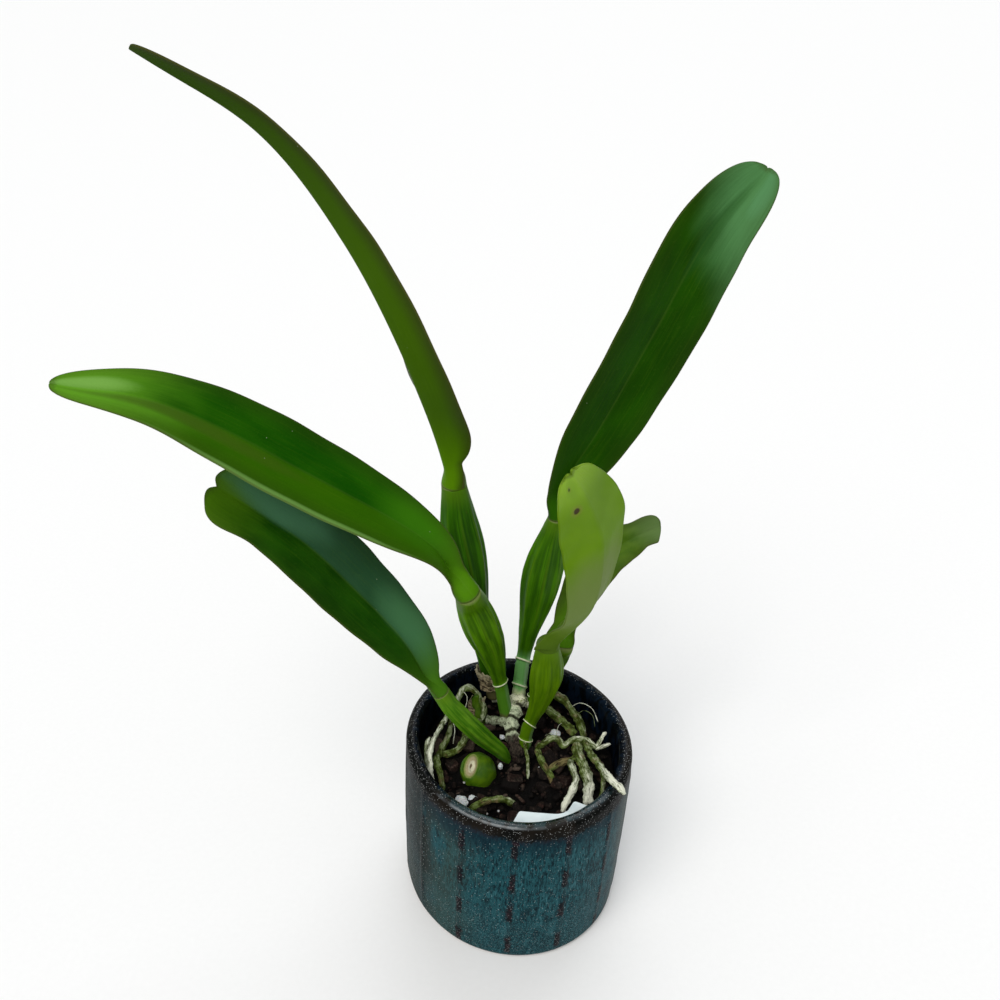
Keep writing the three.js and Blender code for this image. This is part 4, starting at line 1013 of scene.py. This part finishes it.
# each pseudobulb: its axis, its shape, its scar rings (share of the length, lean to one side and
# lift in front) and the colours of its skin, with the strength of the painted shade in its grooves
# and of the painted sheen on its stem
BULBS = (
    dict(axis=((-10, 41.5, 96), (-14, 43, 113.5), (-19, 44, 137), (-23.7, 44.5, 166.5),
               (-28.7, 45, 194), (-34, 46, 219.5)),
         broad=(1, 0.2, 0), stem=4.4, swell=5.7, flat=0.68, bare=0.06, peak=1.8, rings=(),
         deep=(0.012, 0.06, 0.0005), fresh=(0.036, 0.14, 0.001), low=(0.06, 0.1, 0.015)),
    dict(axis=((-3, 30.5, 90), (-7.5, 30, 114), (-10.5, 29, 128), (-15, 26, 147), (-20.5, 24, 163),
               (-26.5, 22.5, 180)),
         broad=(1, 0.25, 0.2), stem=3.9, swell=5.3, flat=0.7, bare=0.24, peak=1.15,
         rings=((0.262, 0.8, 1.4),),
         deep=(0.026, 0.085, 0.001), fresh=(0.08, 0.21, 0.002), low=(0.1, 0.29, 0.02)),
    dict(axis=((-2, 1.5, 80), (-10, -1, 95.5), (-19.5, -3, 107.5), (-29.5, -5, 121.5), (-39, -6.5, 136)),
         broad=(0.6, 0, 0.8), stem=2.9, swell=2.6, flat=0.85, bare=0.0, peak=1.0, taper=0.5, rings=(),
         deep=(0.03, 0.125, 0.002), fresh=(0.11, 0.26, 0.012), low=(0.02, 0.07, 0.004), streaks=0.7),
    # the fourth: its stem's green is made paler than its own as painted light, and its stem sheen is strong
    dict(axis=((5, 42.5, 96), (5.7, 43, 113.5), (6.3, 43, 125), (8, 43, 143.5), (10.8, 43, 162.5),
               (13.2, 42, 188), (15.5, 41.5, 207)),
         broad=(1, 0, 0), stem=4.1, swell=7.2, flat=0.68, bare=0.24, peak=1.25,
         rings=((0.055, -1.5, 3.2), (0.206, -1.5, 3.4)), foot=(0.75, 0.78, 0.5), stem_sheen=0.9,
         deep=(0.018, 0.075, 0.0005), fresh=(0.05, 0.16, 0.001), low=(0.2, 0.5, 0.15)),
    dict(axis=((6.5, 12, 80), (6.5, 12, 95.5), (8.5, 12, 105.5), (12.2, 12, 119), (14.5, 12, 132.5),
               (15, 12, 145)),
         broad=(1, 0.1, 0), stem=3.6, swell=4.7, flat=0.72, bare=0.28, peak=1.3,
         rings=((0.285, -1.9, 1.8), (0.135, -1.0, 1.2)), streaks=0.1,
         deep=(0.05, 0.12, 0.001), fresh=(0.085, 0.18, 0.001), low=(0.09, 0.2, 0.003)),
    dict(axis=((12.5, 38, 92), (13.5, 37.5, 101), (17, 36.5, 113.5), (25, 35.5, 130)),
         broad=(1, 0.2, 0), stem=3.2, swell=2.8, flat=0.75, bare=0.15, peak=1.0, rings=((0.14, 0, 1),),
         deep=(0.035, 0.1, 0.001), fresh=(0.075, 0.16, 0.002), low=(0.05, 0.14, 0.01)),
)


def run_length(run):
    """The length of the straight lines from point to point."""
    return np.linalg.norm(np.diff(np.array(run), axis=0), axis=1).sum()


def folds(turns):
    """0 at each whole turn, 1 halfway to the next, by a cosine."""
    return 0.5 - 0.5 * np.cos(turns)


def bulb_shell(bulb, leaf, seed):
    """A stem radius, plus a swelling that is a power of a sine, notched by the ribs and by fine
    creases between them, with a raised collar at each ring. The last ring meets the leaf's foot."""
    centre, tangent, up, _ = (array[0] for array in leaf_frame(leaf, np.array([0.0])))
    joint = centre + up * leaf["joint"] - tangent * GAP
    length = run_length(bulb["axis"])

    def swollen(s):
        u = np.clip((s - bulb["bare"]) / (1 - bulb["bare"]), 0, 1)
        return u, np.sin(np.pi * u ** bulb["peak"]) ** 1.3

    def collars(s, turn, width):
        """A bell curve at each ring, which leans to one side and is lifted in front."""
        leans = (at + (lean * np.cos(turn) - lift * np.sin(turn)) / length
                 for at, lean, lift in bulb["rings"])
        return sum(bell(s - at, width) for at in leans) + 0 * (s + turn)

    def radius(s, turn):
        u, swell = swollen(s)
        slim = bulb["stem"] + (leaf["joint"] - bulb["stem"]) * smooth(0.3, 1, u)
        rib = folds(BULB_RIBS * turn + 0.5 * np.sin(4 * s + seed))
        crease = folds(3 * BULB_RIBS * turn + 2 * np.sin(7 * s + seed))
        body = (slim + bulb["swell"] * swell) * (1 - bulb.get("taper", 0) * smooth(0.22, 0, s))
        return (body * (1 - BULB_RIB_DEPTH * swell * rib**0.8 - 0.012 * swell * crease)
                + BULB_RING * collars(s, turn, BULB_RING_WIDTH * 0.7)
                - 0.3 * collars(s + 0.018, turn, 0.008))

    near_rings = (np.clip(at + np.linspace(-0.055, 0.055, 51), 0, 1) for at, _, _ in bulb["rings"])
    shares = np.unique(np.r_[np.linspace(0, 1, BULB_ROWS), *near_rings])
    flattened = smooth(bulb["bare"], bulb["bare"] + 0.3, shares) * (1 - smooth(0.85, 1, shares))
    thin = 1 - (1 - bulb["flat"]) * flattened[:, None]
    turn = around(BULB_SIDES)[None]
    s = shares[:, None]
    skin = tube([*bulb["axis"], joint], shares, BULB_SIDES, bulb["broad"], radius, thin, tangent)
    return shell(roughened(skin, (0.12, 5), (0.03, 1.2), 50 + seed), {
        "along": s, "rib": folds(BULB_RIBS * turn), "fat": swollen(s)[1],
        "ring": collars(s, turn, 0.0062), "east": np.cos(turn), "north": np.sin(turn)})


def bulb_finish(name, bulb):
    """Green skin with fine threads along it, a painted highlight along the ridges of its ribs and painted
    shade in the grooves between them, a stem of its own green with a painted sheen down its right
    front, and brown flecks where dry sheath has rubbed. The scar ring is a thin cream line over a dark one."""
    finish = Finish(name, bulb["deep"], {"Specular IOR Level": 0.05})
    along, rib, fat, ring, east, north = finish.carried("along", "rib", "fat", "ring", "east", "north")

    def round_it(turns, lengths, seed):
        """A place on the skin, so many units to a radian round it and to the length of the bulb."""
        return finish.vector(east * turns, north * turns, along * lengths + seed)

    threads = finish.noise(0.8, 4, 0.6, at=round_it(14, 2.5, 0))
    patch = finish.noise(1, at=round_it(1.5, 5, 2))
    finish.coat((threads * 0.5 + patch * 0.6).step(0.4, 0.68), bulb["fresh"])
    # painted shade in the grooves between the ribs, and a painted highlight along their ridges
    finish.coat(rib.step(0.55, 0.98) * fat * bulb.get("streaks", 0.65), bulb["deep"])
    finish.coat(rib.step(0.12, 0.0) * fat * 0.25, (0.14, 0.25, 0.01))
    low = along.frayed(threads, 0.06).step(bulb["bare"] + 0.06, bulb["bare"] - 0.05)
    finish.coat(low * (0.55 + threads * 0.5), bulb["low"])
    # painted sheen: a pale streak down the right front of the bare stem
    stem_sheen = (east - north * 0.5 + (patch - 0.5) * 0.5).step(0.62, 1.05)
    finish.coat(stem_sheen * low * bulb.get("stem_sheen", 0.3), (0.34, 0.56, 0.3))
    finish.coat(along.step(0.9, 0.99) * 0.5, (0.09, 0.19, 0.004))
    flecks = finish.noise(1.2, 4, 0.7, at=round_it(6, 22, 5))
    finish.coat(flecks.step(0.66, 0.74) * 0.5, (0.1, 0.06, 0.02))
    finish.coat(along.step(0.993, 0.999) * 0.5, (0.22, 0.22, 0.1))
    mottled = finish.noise(1, at=round_it(2, 90, 0)).step(0.3, 0.7)
    finish.coat(ring.step(0.35, 0.7), finish.mix(mottled, (0.6, 0.64, 0.36), (0.95, 0.98, 0.72)))
    foot = along.frayed(patch, 0.05).step(0.065, 0.035)
    finish.coat(foot * 0.75, bulb.get("foot", (0.13, 0.1, 0.05)))
    roughness = 0.36 + threads * 0.14 + ring.step(0.4, 0.8) * 0.25
    return finish.apply(roughness, threads * 0.6 + flecks * 0.2, 0.25)


for index, (bulb, leaf) in enumerate(zip(BULBS, LEAVES)):
    piece(f"club_{index + 1}", [bulb_shell(bulb, leaf, index)], bulb_finish(f"bulb_skin_{index + 1}", bulb),
          [f"pseudobulb_{index + 1}"])

# ---------------------------------------------------------------------------------------------
# The two old pseudobulbs: one was cut off level and its cut has dried, the other stayed small and
# has shrivelled in strips of its own dry sheath.

STUB_RUN = ((-20.3, -5, 77.5), (-22.4, -6.6, 84.8), (-26.4, -8.7, 91.4))
STUB_CUT = np.array((-0.68, -0.28, 0.68))  # the way that the cut faces
STUB_RADIUS = 10.6
STUB_FLAT = 0.95
STUB_BROAD = (0.3, 0.9, 0.3)
STUB_OVAL = 0.78
STUB_LEAN = 0.25
STUB_SIDES = 72
STUB_ROWS, CUT_ROWS = 70, 26
SMALL_BULB_RUN = ((-18, 27, 84), (-20.5, 31.5, 91), (-21.5, 34, 98), (-21, 34, 103))
SMALL_BULB_RADIUS = 4.4
SMALL_BULB_SIDES, SMALL_BULB_ROWS = 48, 70


def stub_shell():
    """The body swells low down and closes in to the cut. The cut's own rings shrink to its middle,
    with a raised rim, a sunken band and a slit of a core."""
    shares = np.r_[np.linspace(0, 1, STUB_ROWS), np.ones(CUT_ROWS)]
    cut = np.r_[np.zeros(STUB_ROWS), np.linspace(0.04, 0.97, CUT_ROWS)][:, None]

    def radius(s, turn):
        shape = np.sqrt(1 - ((s - 0.45) / 0.72) ** 2)
        waved = 1 + 0.012 * np.cos(9 * turn + 2 * s)
        slit = 1 - 0.4 * np.abs(np.sin(turn)) * smooth(0.5, 1, cut)
        return STUB_RADIUS * shape * waved * (1 - cut) * slit

    turn = around(STUB_SIDES) + STUB_LEAN
    oval = 1 - (1 - cut) * np.hypot(np.cos(turn), np.sin(turn) / STUB_OVAL)
    on_cut = cut > 0
    skin = tube(STUB_RUN, shares, STUB_SIDES, STUB_BROAD, radius, STUB_FLAT, STUB_CUT)
    dish = 0.35 * smooth(0, 0.05, oval) - 0.9 * smooth(0.05, 0.4, oval) + 0.8 * smooth(0.55, 0.8, oval)
    skin = skin + STUB_CUT * (dish * on_cut)[..., None]
    skin = skin + 0.12 * (grain(skin, 2.4, 61) * (cut == 0))[..., None]
    skin = skin + STUB_CUT * (0.22 * grain(skin, 1.1, 62) * on_cut)[..., None]
    return shell(skin, {"cut": np.clip(oval, 0, 1) * on_cut, "along": shares[:, None]})


def old_bulb_finish():
    """Plain green skin with brown scars. On the cut, a tan ring of dried fibre surrounds a pale
    band and a dark slit."""
    finish = Finish("old_bulb_skin", (0.035, 0.1, 0.001), {"Specular IOR Level": 0.25})
    cut, along = finish.carried("cut", "along")
    grit = finish.noise(0.9, 4, 0.7)
    finish.coat(finish.noise(5, 3).step(0.3, 0.7), (0.085, 0.17, 0.003))
    finish.coat(grit.step(0.64, 0.76) * 0.5, (0.12, 0.1, 0.03))
    finish.coat(along.step(0.25, 0.0) * 0.7, (0.05, 0.045, 0.02))
    face = finish.mix(grit, (0.24, 0.19, 0.09), (0.5, 0.44, 0.27))
    face = finish.mix(cut.frayed(grit, 0.15).step(0.42, 0.6), face, (0.62, 0.6, 0.42))
    face = finish.mix(cut.frayed(grit, 0.1).step(0.74, 0.84), face, (0.12, 0.085, 0.04))
    face = finish.mix(1 - cut.frayed(grit, 0.2).step(0.12, 0.3), face, (0.2, 0.24, 0.06))
    on_cut = cut.step(0, 0.05)
    finish.coat(on_cut, face)
    return finish.apply(0.35 + on_cut * 0.4 + grit * 0.1, grit, 0.3)


def small_bulb_shell():
    """A slim club with six deep folds."""

    def radius(s, turn):
        shape = 0.25 + 0.75 * np.sin(np.pi * (0.2 + 0.75 * s))
        return SMALL_BULB_RADIUS * shape * (1 - 0.14 * folds(6 * turn))

    shares = np.linspace(0, 1, SMALL_BULB_ROWS)
    skin = tube(SMALL_BULB_RUN, shares, SMALL_BULB_SIDES, (1, 0, 0), radius, 0.8)
    return shell(roughened(skin, (0.12, 3), (0.05, 0.9), 63), {"cut": 0.0, "along": shares[:, None]})


old_skin = old_bulb_finish()
piece("cut_bulb", [stub_shell()], old_skin, ["old_bulb_cut"])
piece("small_bulb", [small_bulb_shell()], old_skin, ["old_bulb_small"])

# ---------------------------------------------------------------------------------------------
# Dry sheaths: papery brown leaf bases, creased and torn along their upper edges. One clasps the
# foot of the tall left pseudobulb, and strips of another hang on the small old one.

SHEATH_RUN = ((-11.5, 42.4, 103.5), (-13, 43, 110.5), (-14.5, 43.3, 118))
SHEATH_RADIUS = 5.5
SHEATH_THICKNESS = 0.9
SHEATH_WRINKLE = 0.8
SHEATH_SIDES, SHEATH_ROWS = 120, 40
STRIP_SIDES, STRIP_ROWS = 16, 34
# each strip: its run, its width and the seed of its twist and grain
SHEATH_STRIPS = (
    (((-22, 27, 86), (-24.6, 30.5, 93), (-25.2, 32.5, 100), (-24, 31.5, 105.5)), 1.3, 1),
    (((-19, 25, 86), (-22.6, 28.6, 93), (-24.2, 29.8, 99), (-25.5, 27.6, 103)), 1.1, 2),
    (((-15.5, 28, 86), (-16.6, 31, 93), (-17.4, 32.2, 100), (-16.4, 31.5, 104.5)), 1.2, 4),
)


def sheath_shell():
    """A wall between two skins that are both looped round its edges. Slow waves crease it, fine
    grain crumples it, and its upper edge is torn to uneven heights."""
    rows = np.linspace(0, 1, SHEATH_ROWS)
    shares = np.r_[rows, rows[::-1]]
    stand = np.repeat([SHEATH_THICKNESS + 0.3, 0.3], SHEATH_ROWS)

    def radius(s, angle):
        crease = (SHEATH_WRINKLE * np.sin(5 * angle + 4 * s) * np.cos(3 * angle - 6 * s)
                  + 0.8 * s * np.cos(angle + 1) + 0.25 * np.sin(19 * angle + 3 * np.sin(5 * s)))
        return SHEATH_RADIUS + 1.4 * s + crease

    skin = tube(SHEATH_RUN, shares, SHEATH_SIDES, (1, 0.2, 0), radius, 0.95)
    way = follow(SHEATH_RUN, np.array([0.9]))[1][0]
    turn = around(SHEATH_SIDES)
    torn = 1.4 * np.sin(3 * turn + 1) * np.sin(5 * turn) + 0.7 * np.sin(13 * turn) - 0.8
    skin = skin + way * (torn * smooth(0.4, 1, shares)[:, None])[..., None]
    skin = roughened(skin, (0.5, 3.2), (0.2, 1.1), 71)
    skin = skin + outward(skin) * (stand * 0.9)[:, None, None]
    return shell(skin, {"along": shares[:, None]}, looped=True)


def strip_shell(run, width, seed):
    """A thin curling strip: a flat oval section that twists a little as it goes."""
    shares = np.linspace(0, 1, STRIP_ROWS)
    taper = 0.35 + 0.65 * np.sin(np.pi * np.clip(shares * 0.8 + 0.15, 0, 1))
    skin = tube(run, shares, STRIP_SIDES, (math.cos(seed), 0.2, math.sin(seed)),
                lambda s, turn: width * taper[:, None] + 0 * turn, 0.14)
    return shell(skin + 0.25 * grain(skin, 1.6, 80 + seed)[..., None], {"along": shares[:, None]})


def papery():
    """Dry brown paper wrinkled in rings, dark in the folds, with bleached, ragged tops."""
    finish = Finish("papery_sheath", (0.045, 0.03, 0.016), {"Specular IOR Level": 0.15})
    along, = finish.carried("along")
    x, y, _ = finish.axes()
    up_it = finish.node("ShaderNodeVectorMath", {"operation": "DOT_PRODUCT"},
                        {0: finish.point, 1: (0.35, 0, 1.5)}, 1)
    fibre = finish.noise(1.1, 3, 0.6, 0.9, at=finish.vector(x * 0.35, y * 0.35, up_it))
    patch = finish.noise(4, 3)
    finish.coat(fibre.step(0.4, 0.6), (0.42, 0.34, 0.2))
    finish.coat((along + patch * 0.4).step(0.75, 1.2) * 0.6, (0.6, 0.54, 0.36))
    finish.coat(patch.step(0.56, 0.7) * 0.5, (0.1, 0.06, 0.035))
    return finish.apply(0.75 + fibre * 0.2, fibre, 0.9)


paper = papery()
piece("dry_sheath", [sheath_shell()], paper, ["sheath_1"])
piece("sheath_strips", [strip_shell(*strip) for strip in SHEATH_STRIPS], paper)

# ---------------------------------------------------------------------------------------------
# The roots: thick cords of spongy skin over a wiry core. Out of the mix they are grey-green and
# mottled, bleached to cream where they are dry, and they arch over the bark and dive into it.

ROOT_SWELL = 0.13
ROOT_SIDES, HAIR_SIDES = 28, 12
ROOT_ROWS_PER_MM = 1.4
# each root: its run, its radius and how bleached it is at its start and at its end
ROOTS = {
    "roots_right_back": (
        (((13, 33, 95), (17, 40, 96), (25, 43, 97), (28, 39, 98), (32, 36, 97), (35.5, 30, 95),
          (39.5, 24, 91), (41, 18, 84), (41, 16, 78)), 2.5, 0.1, 0.1),
        (((13, 33, 95), (19.5, 29, 97.5), (24.5, 24.5, 97), (29.5, 21.5, 94), (33, 19, 91),
          (38, 17.5, 84)), 2.6, 0.05, -0.1),
    ),
    "roots_right_front": (
        (((12, 6, 90), (16, 5, 95), (20, 6.5, 97), (24, 7, 95.5), (27, 4, 94), (31, 5.5, 96),
          (38, 5, 97.5), (42.5, 1, 97.5), (45, -2, 97)), 1.9, 0.2, 0.35),
        (((44, -1, 97), (47, 2.5, 99), (49, 5, 101), (51, 6.5, 102)), 1.1, 0.4, 1.0),
        (((44, -2, 97), (49, 0, 98), (52.5, 0.5, 99)), 1.2, 0.6, 1.0),
        (((34, 5, 96), (34, -7, 97), (35.5, -16, 96), (37, -22.5, 93), (36.5, -27, 88),
          (36, -30, 82)), 3, 0.15, 0.95),
        (((29, -6, 93), (29, -14, 96), (29.5, -23, 96.5), (26.5, -28.5, 94), (23, -33, 90.5),
          (21, -36, 87.5)), 1.9, 0.45, 1.05),
        (((38, 5, 97.5), (40, -13, 103), (42.5, -26, 108), (45, -36, 111.8), (48, -41.5, 112.4),
          (50, -44.5, 111.4)), 2, 0.1, 0.85),
        (((40.5, -16, 104), (44, -21, 100), (44, -25.5, 93), (43, -27.5, 82)), 1.3, 0.3, 0.5),
        (((12, 6, 90), (13.5, -5, 91), (17, -11, 89), (20.5, -15.5, 83)), 2, 0.0, -0.3),
        (((17, -10, 89.5), (22.5, -7.5, 92), (29, -6, 93), (34.5, -6, 96)), 2, -0.6, -0.3),
    ),
    "roots_left": (
        (((-18, 25.5, 91), (-17, 31, 97), (-21.5, 37, 103), (-28, 39, 104), (-32, 34, 101),
          (-36, 23.5, 97), (-38.5, 12.5, 93), (-43.5, 2.5, 90), (-45.5, -6, 92), (-43.5, -14, 89),
          (-42, -19, 82)), 1.9, 0.25, 0.0),
        (((-20.5, 35.5, 102.5), (-25, 41, 104), (-30, 38, 102.5), (-34.5, 28.5, 100.5),
          (-38.8, 20, 101), (-42.5, 11.5, 102), (-47.5, -1, 103.2), (-49.5, -11, 102.5),
          (-49.2, -18, 98), (-48, -21.5, 92)), 1.45, 0.35, 0.85),
        (((-18, 25.5, 91), (-25, 20, 93), (-29, 10.5, 93), (-32.5, 4, 91.5), (-38.5, 2, 89.5),
          (-43.5, 2.5, 89)), 2, 0.2, 0.0),
        (((-49.4, 3, 101.5), (-50.8, 0, 100.5), (-51.4, -4, 97.5), (-51, -8, 91), (-50, -11, 82)),
         1.25, 0.5, 0.4),
    ),
    "root_front": (
        (((-31, -36.5, 80), (-28.5, -35, 86), (-22.5, -32.3, 89.6), (-16, -30.5, 90.4),
          (-10, -29.5, 89.6), (-5, -29, 86), (-2.5, -29, 80)), 1.9, -0.05, 0.25),
    ),
}
ROOT_HAIRS = (
    (((5, 9, 92), (5.2, 4, 92.5), (5.9, -2.7, 90), (5.6, -8, 88.2), (5.3, -12.5, 85.5)), 1.1, 0.15, 0.35),
    (((35, 31, 97), (40, 30, 101), (46, 25, 101.5), (49, 19, 97)), 0.24, 1, 1),
    (((38, 27, 95), (42, 26, 99), (46, 22, 99), (47, 17, 95)), 0.16, 0.3, 0.3),
    (((24, 7, 96), (21, 12, 95), (18, 15, 90)), 0.18, 0.6, 0.6),
    (((-39, 22, 101), (-35, 14, 98), (-36, 6, 93)), 0.2, 0.7, 0.7),
    (((-30, 38, 104), (-27, 33, 103), (-28, 28, 97), (-26, 24, 92)), 0.22, 0.8, 0.8),
    (((44, -30, 108), (47, -27, 104), (49, -24, 98)), 0.2, 0.6, 0.6),
    (((30, 21, 95), (26, 18, 95), (24, 13, 91)), 0.18, 0.6, 0.6),
)


def root_shell(run, radius, bleached_first, bleached_last, number, sides):
    """A tube that swells and narrows along its run, shrinks into long folds, is knobbly all over
    and is drawn in at its two ends."""
    length = run_length(run)
    shares = np.linspace(0, 1, max(16, int(length * ROOT_ROWS_PER_MM)))

    def reach(s, turn):
        waver = 1 + ROOT_SWELL * np.sin(9 * s + 2.1 * number) * np.cos(23 * s + number)
        end = 0.45 + 0.55 * smooth(0, 1.6 * radius / length, np.minimum(s, 1 - s))
        shrunk = 1 - 0.09 * np.abs(np.sin(1.5 * turn + 0.09 * length * s + number))
        return radius * waver * end * shrunk

    turn = around(sides)[None]
    bleached = bleached_first + (bleached_last - bleached_first) * smooth(0.4, 0.9, shares)[:, None]
    flaky = 1 + bleached_last * 0.7
    skin = tube(run, shares, sides, STEM_BROAD, reach)
    skin = roughened(skin, (0.2 * radius, 2.2), (0.12 * radius * flaky, 0.8), 90 + number)
    # top is the upper side of the root, which the skin lightens as painted highlight
    return shell(skin, {"bleached": bleached, "top": np.cos(turn), "width": radius * np.cos(turn),
                        "height": radius * np.sin(turn), "run": (shares * length)[:, None]})


def velamen():
    """Spongy root skin: olive green, clouded with grey-green, silvered and cream where it is dry, more
    so on its upper side as painted highlight, with brown cracks that run along it. Bleached roots are
    white with green and brown stains."""
    finish = Finish("root_velamen", (0.05, 0.075, 0.006), {"Specular IOR Level": 0.1})
    bleached, top, width, height, run = finish.carried("bleached", "top", "width", "height", "run")
    cloud = finish.noise(3.6, 4, 0.65)
    threads = finish.noise(0.75, 4, 0.7, 0.5, at=finish.vector(width, height, run * 0.22))
    finish.coat(cloud.step(0.4, 0.6), (0.17, 0.24, 0.06))
    tan = (finish.noise(7, 3) - bleached * 0.25).step(0.54, 0.66)
    finish.coat(tan * 0.8, finish.mix(threads, (0.1, 0.07, 0.025), (0.3, 0.22, 0.11)))
    # painted highlight: the upper side comes out drier and paler, on top of the real dry, bleached patches
    dry = top * 0.16 + threads * 0.9 + cloud * 0.5 + bleached * 0.5
    finish.coat(dry.step(0.84, 1.07) * 0.75, (0.4, 0.45, 0.28))
    finish.coat(dry.step(0.98, 1.22), (0.86, 0.88, 0.72))
    cracks = threads.step(0.48, 0.37) * (1 - bleached * 0.5)
    finish.coat(cracks * 0.9, (0.024, 0.019, 0.007))
    return finish.apply(0.6 + threads * 0.3, threads + cloud * 0.6, 1.0)


def root_shells(roots, sides):
    """One skin for each root of a bunch, with that many sides."""
    return [root_shell(*root, number, sides) for number, root in enumerate(roots)]


spongy = velamen()
for name, roots in ROOTS.items():
    piece(f"{name}_cords", root_shells(roots, ROOT_SIDES), spongy, [name])
piece("root_hairs", root_shells(ROOT_HAIRS, HAIR_SIDES), spongy)

# ---------------------------------------------------------------------------------------------
# The studio: a plain pale floor under a white sky, a broad soft light from the upper left and a
# weaker one from the right, and a camera that looks down on the plant from in front.

CAMERA_AT = (-0.0548, -0.3503, 0.4789)
CAMERA_PITCH = 29.66  # degrees below level
FOCAL_PIXELS = 874.0
PICTURE = 1000.0
PRINCIPAL_POINT = (420.2, 466.3)
SENSOR = 36.0
FLOOR_REACH = 40.0
FLOOR_DROP = 0.0003


def floor_finish():
    """Matt white card with the faintest grain."""
    finish = Finish("studio_card", (0.88, 0.88, 0.88), {"Specular IOR Level": 0.1})
    card = finish.noise(3)
    finish.coat(card, (0.91, 0.91, 0.91))
    return finish.apply(0.8 + card * 0.1)


floor_mesh = bpy.data.meshes.new("floor")
floor_corners = [(x * FLOOR_REACH, y * FLOOR_REACH, -FLOOR_DROP)
                 for x, y in ((-1, -1), (1, -1), (1, 1), (-1, 1))]
floor_mesh.from_pydata(floor_corners, [], [(0, 1, 2, 3)])
floor_mesh.materials.append(floor_finish())
floor = bpy.data.objects.new("floor", floor_mesh)
bpy.context.scene.collection.objects.link(floor)

world = bpy.data.worlds.new("studio")
world.use_nodes = True
sky = world.node_tree.nodes["Background"]
sky.inputs["Color"].default_value = (0.96, 0.98, 1.0, 1)
sky.inputs["Strength"].default_value = 0.4
bpy.context.scene.world = world


def soft_light(name, turn, lift, spread, power, colour):
    """Parallel light from that compass turn and height, softened over a spread, all in degrees."""
    light = bpy.data.lights.new(name, "SUN")
    light.angle = math.radians(spread)
    light.energy = power
    light.color = colour
    lamp = bpy.data.objects.new(name, light)
    lamp.rotation_euler = (math.radians(90 - lift), 0, math.radians(turn + 90))
    bpy.context.scene.collection.objects.link(lamp)


soft_light("key", -125, 55, 40, 2.0, (1, 0.98, 0.95))
soft_light("back", 75, 50, 50, 0.9, (0.95, 0.98, 1))

lens = bpy.data.cameras.new("camera")
lens.sensor_width = SENSOR
lens.lens = FOCAL_PIXELS / PICTURE * SENSOR
lens.shift_x = 0.5 - PRINCIPAL_POINT[0] / PICTURE
lens.shift_y = PRINCIPAL_POINT[1] / PICTURE - 0.5
lens.clip_start = 0.01
camera = bpy.data.objects.new("camera", lens)
camera.location = CAMERA_AT
camera.rotation_euler = (math.radians(90 - CAMERA_PITCH), 0, 0)
bpy.context.scene.collection.objects.link(camera)
bpy.context.scene.camera = camera
bpy.context.scene.view_settings.view_transform = "Standard"
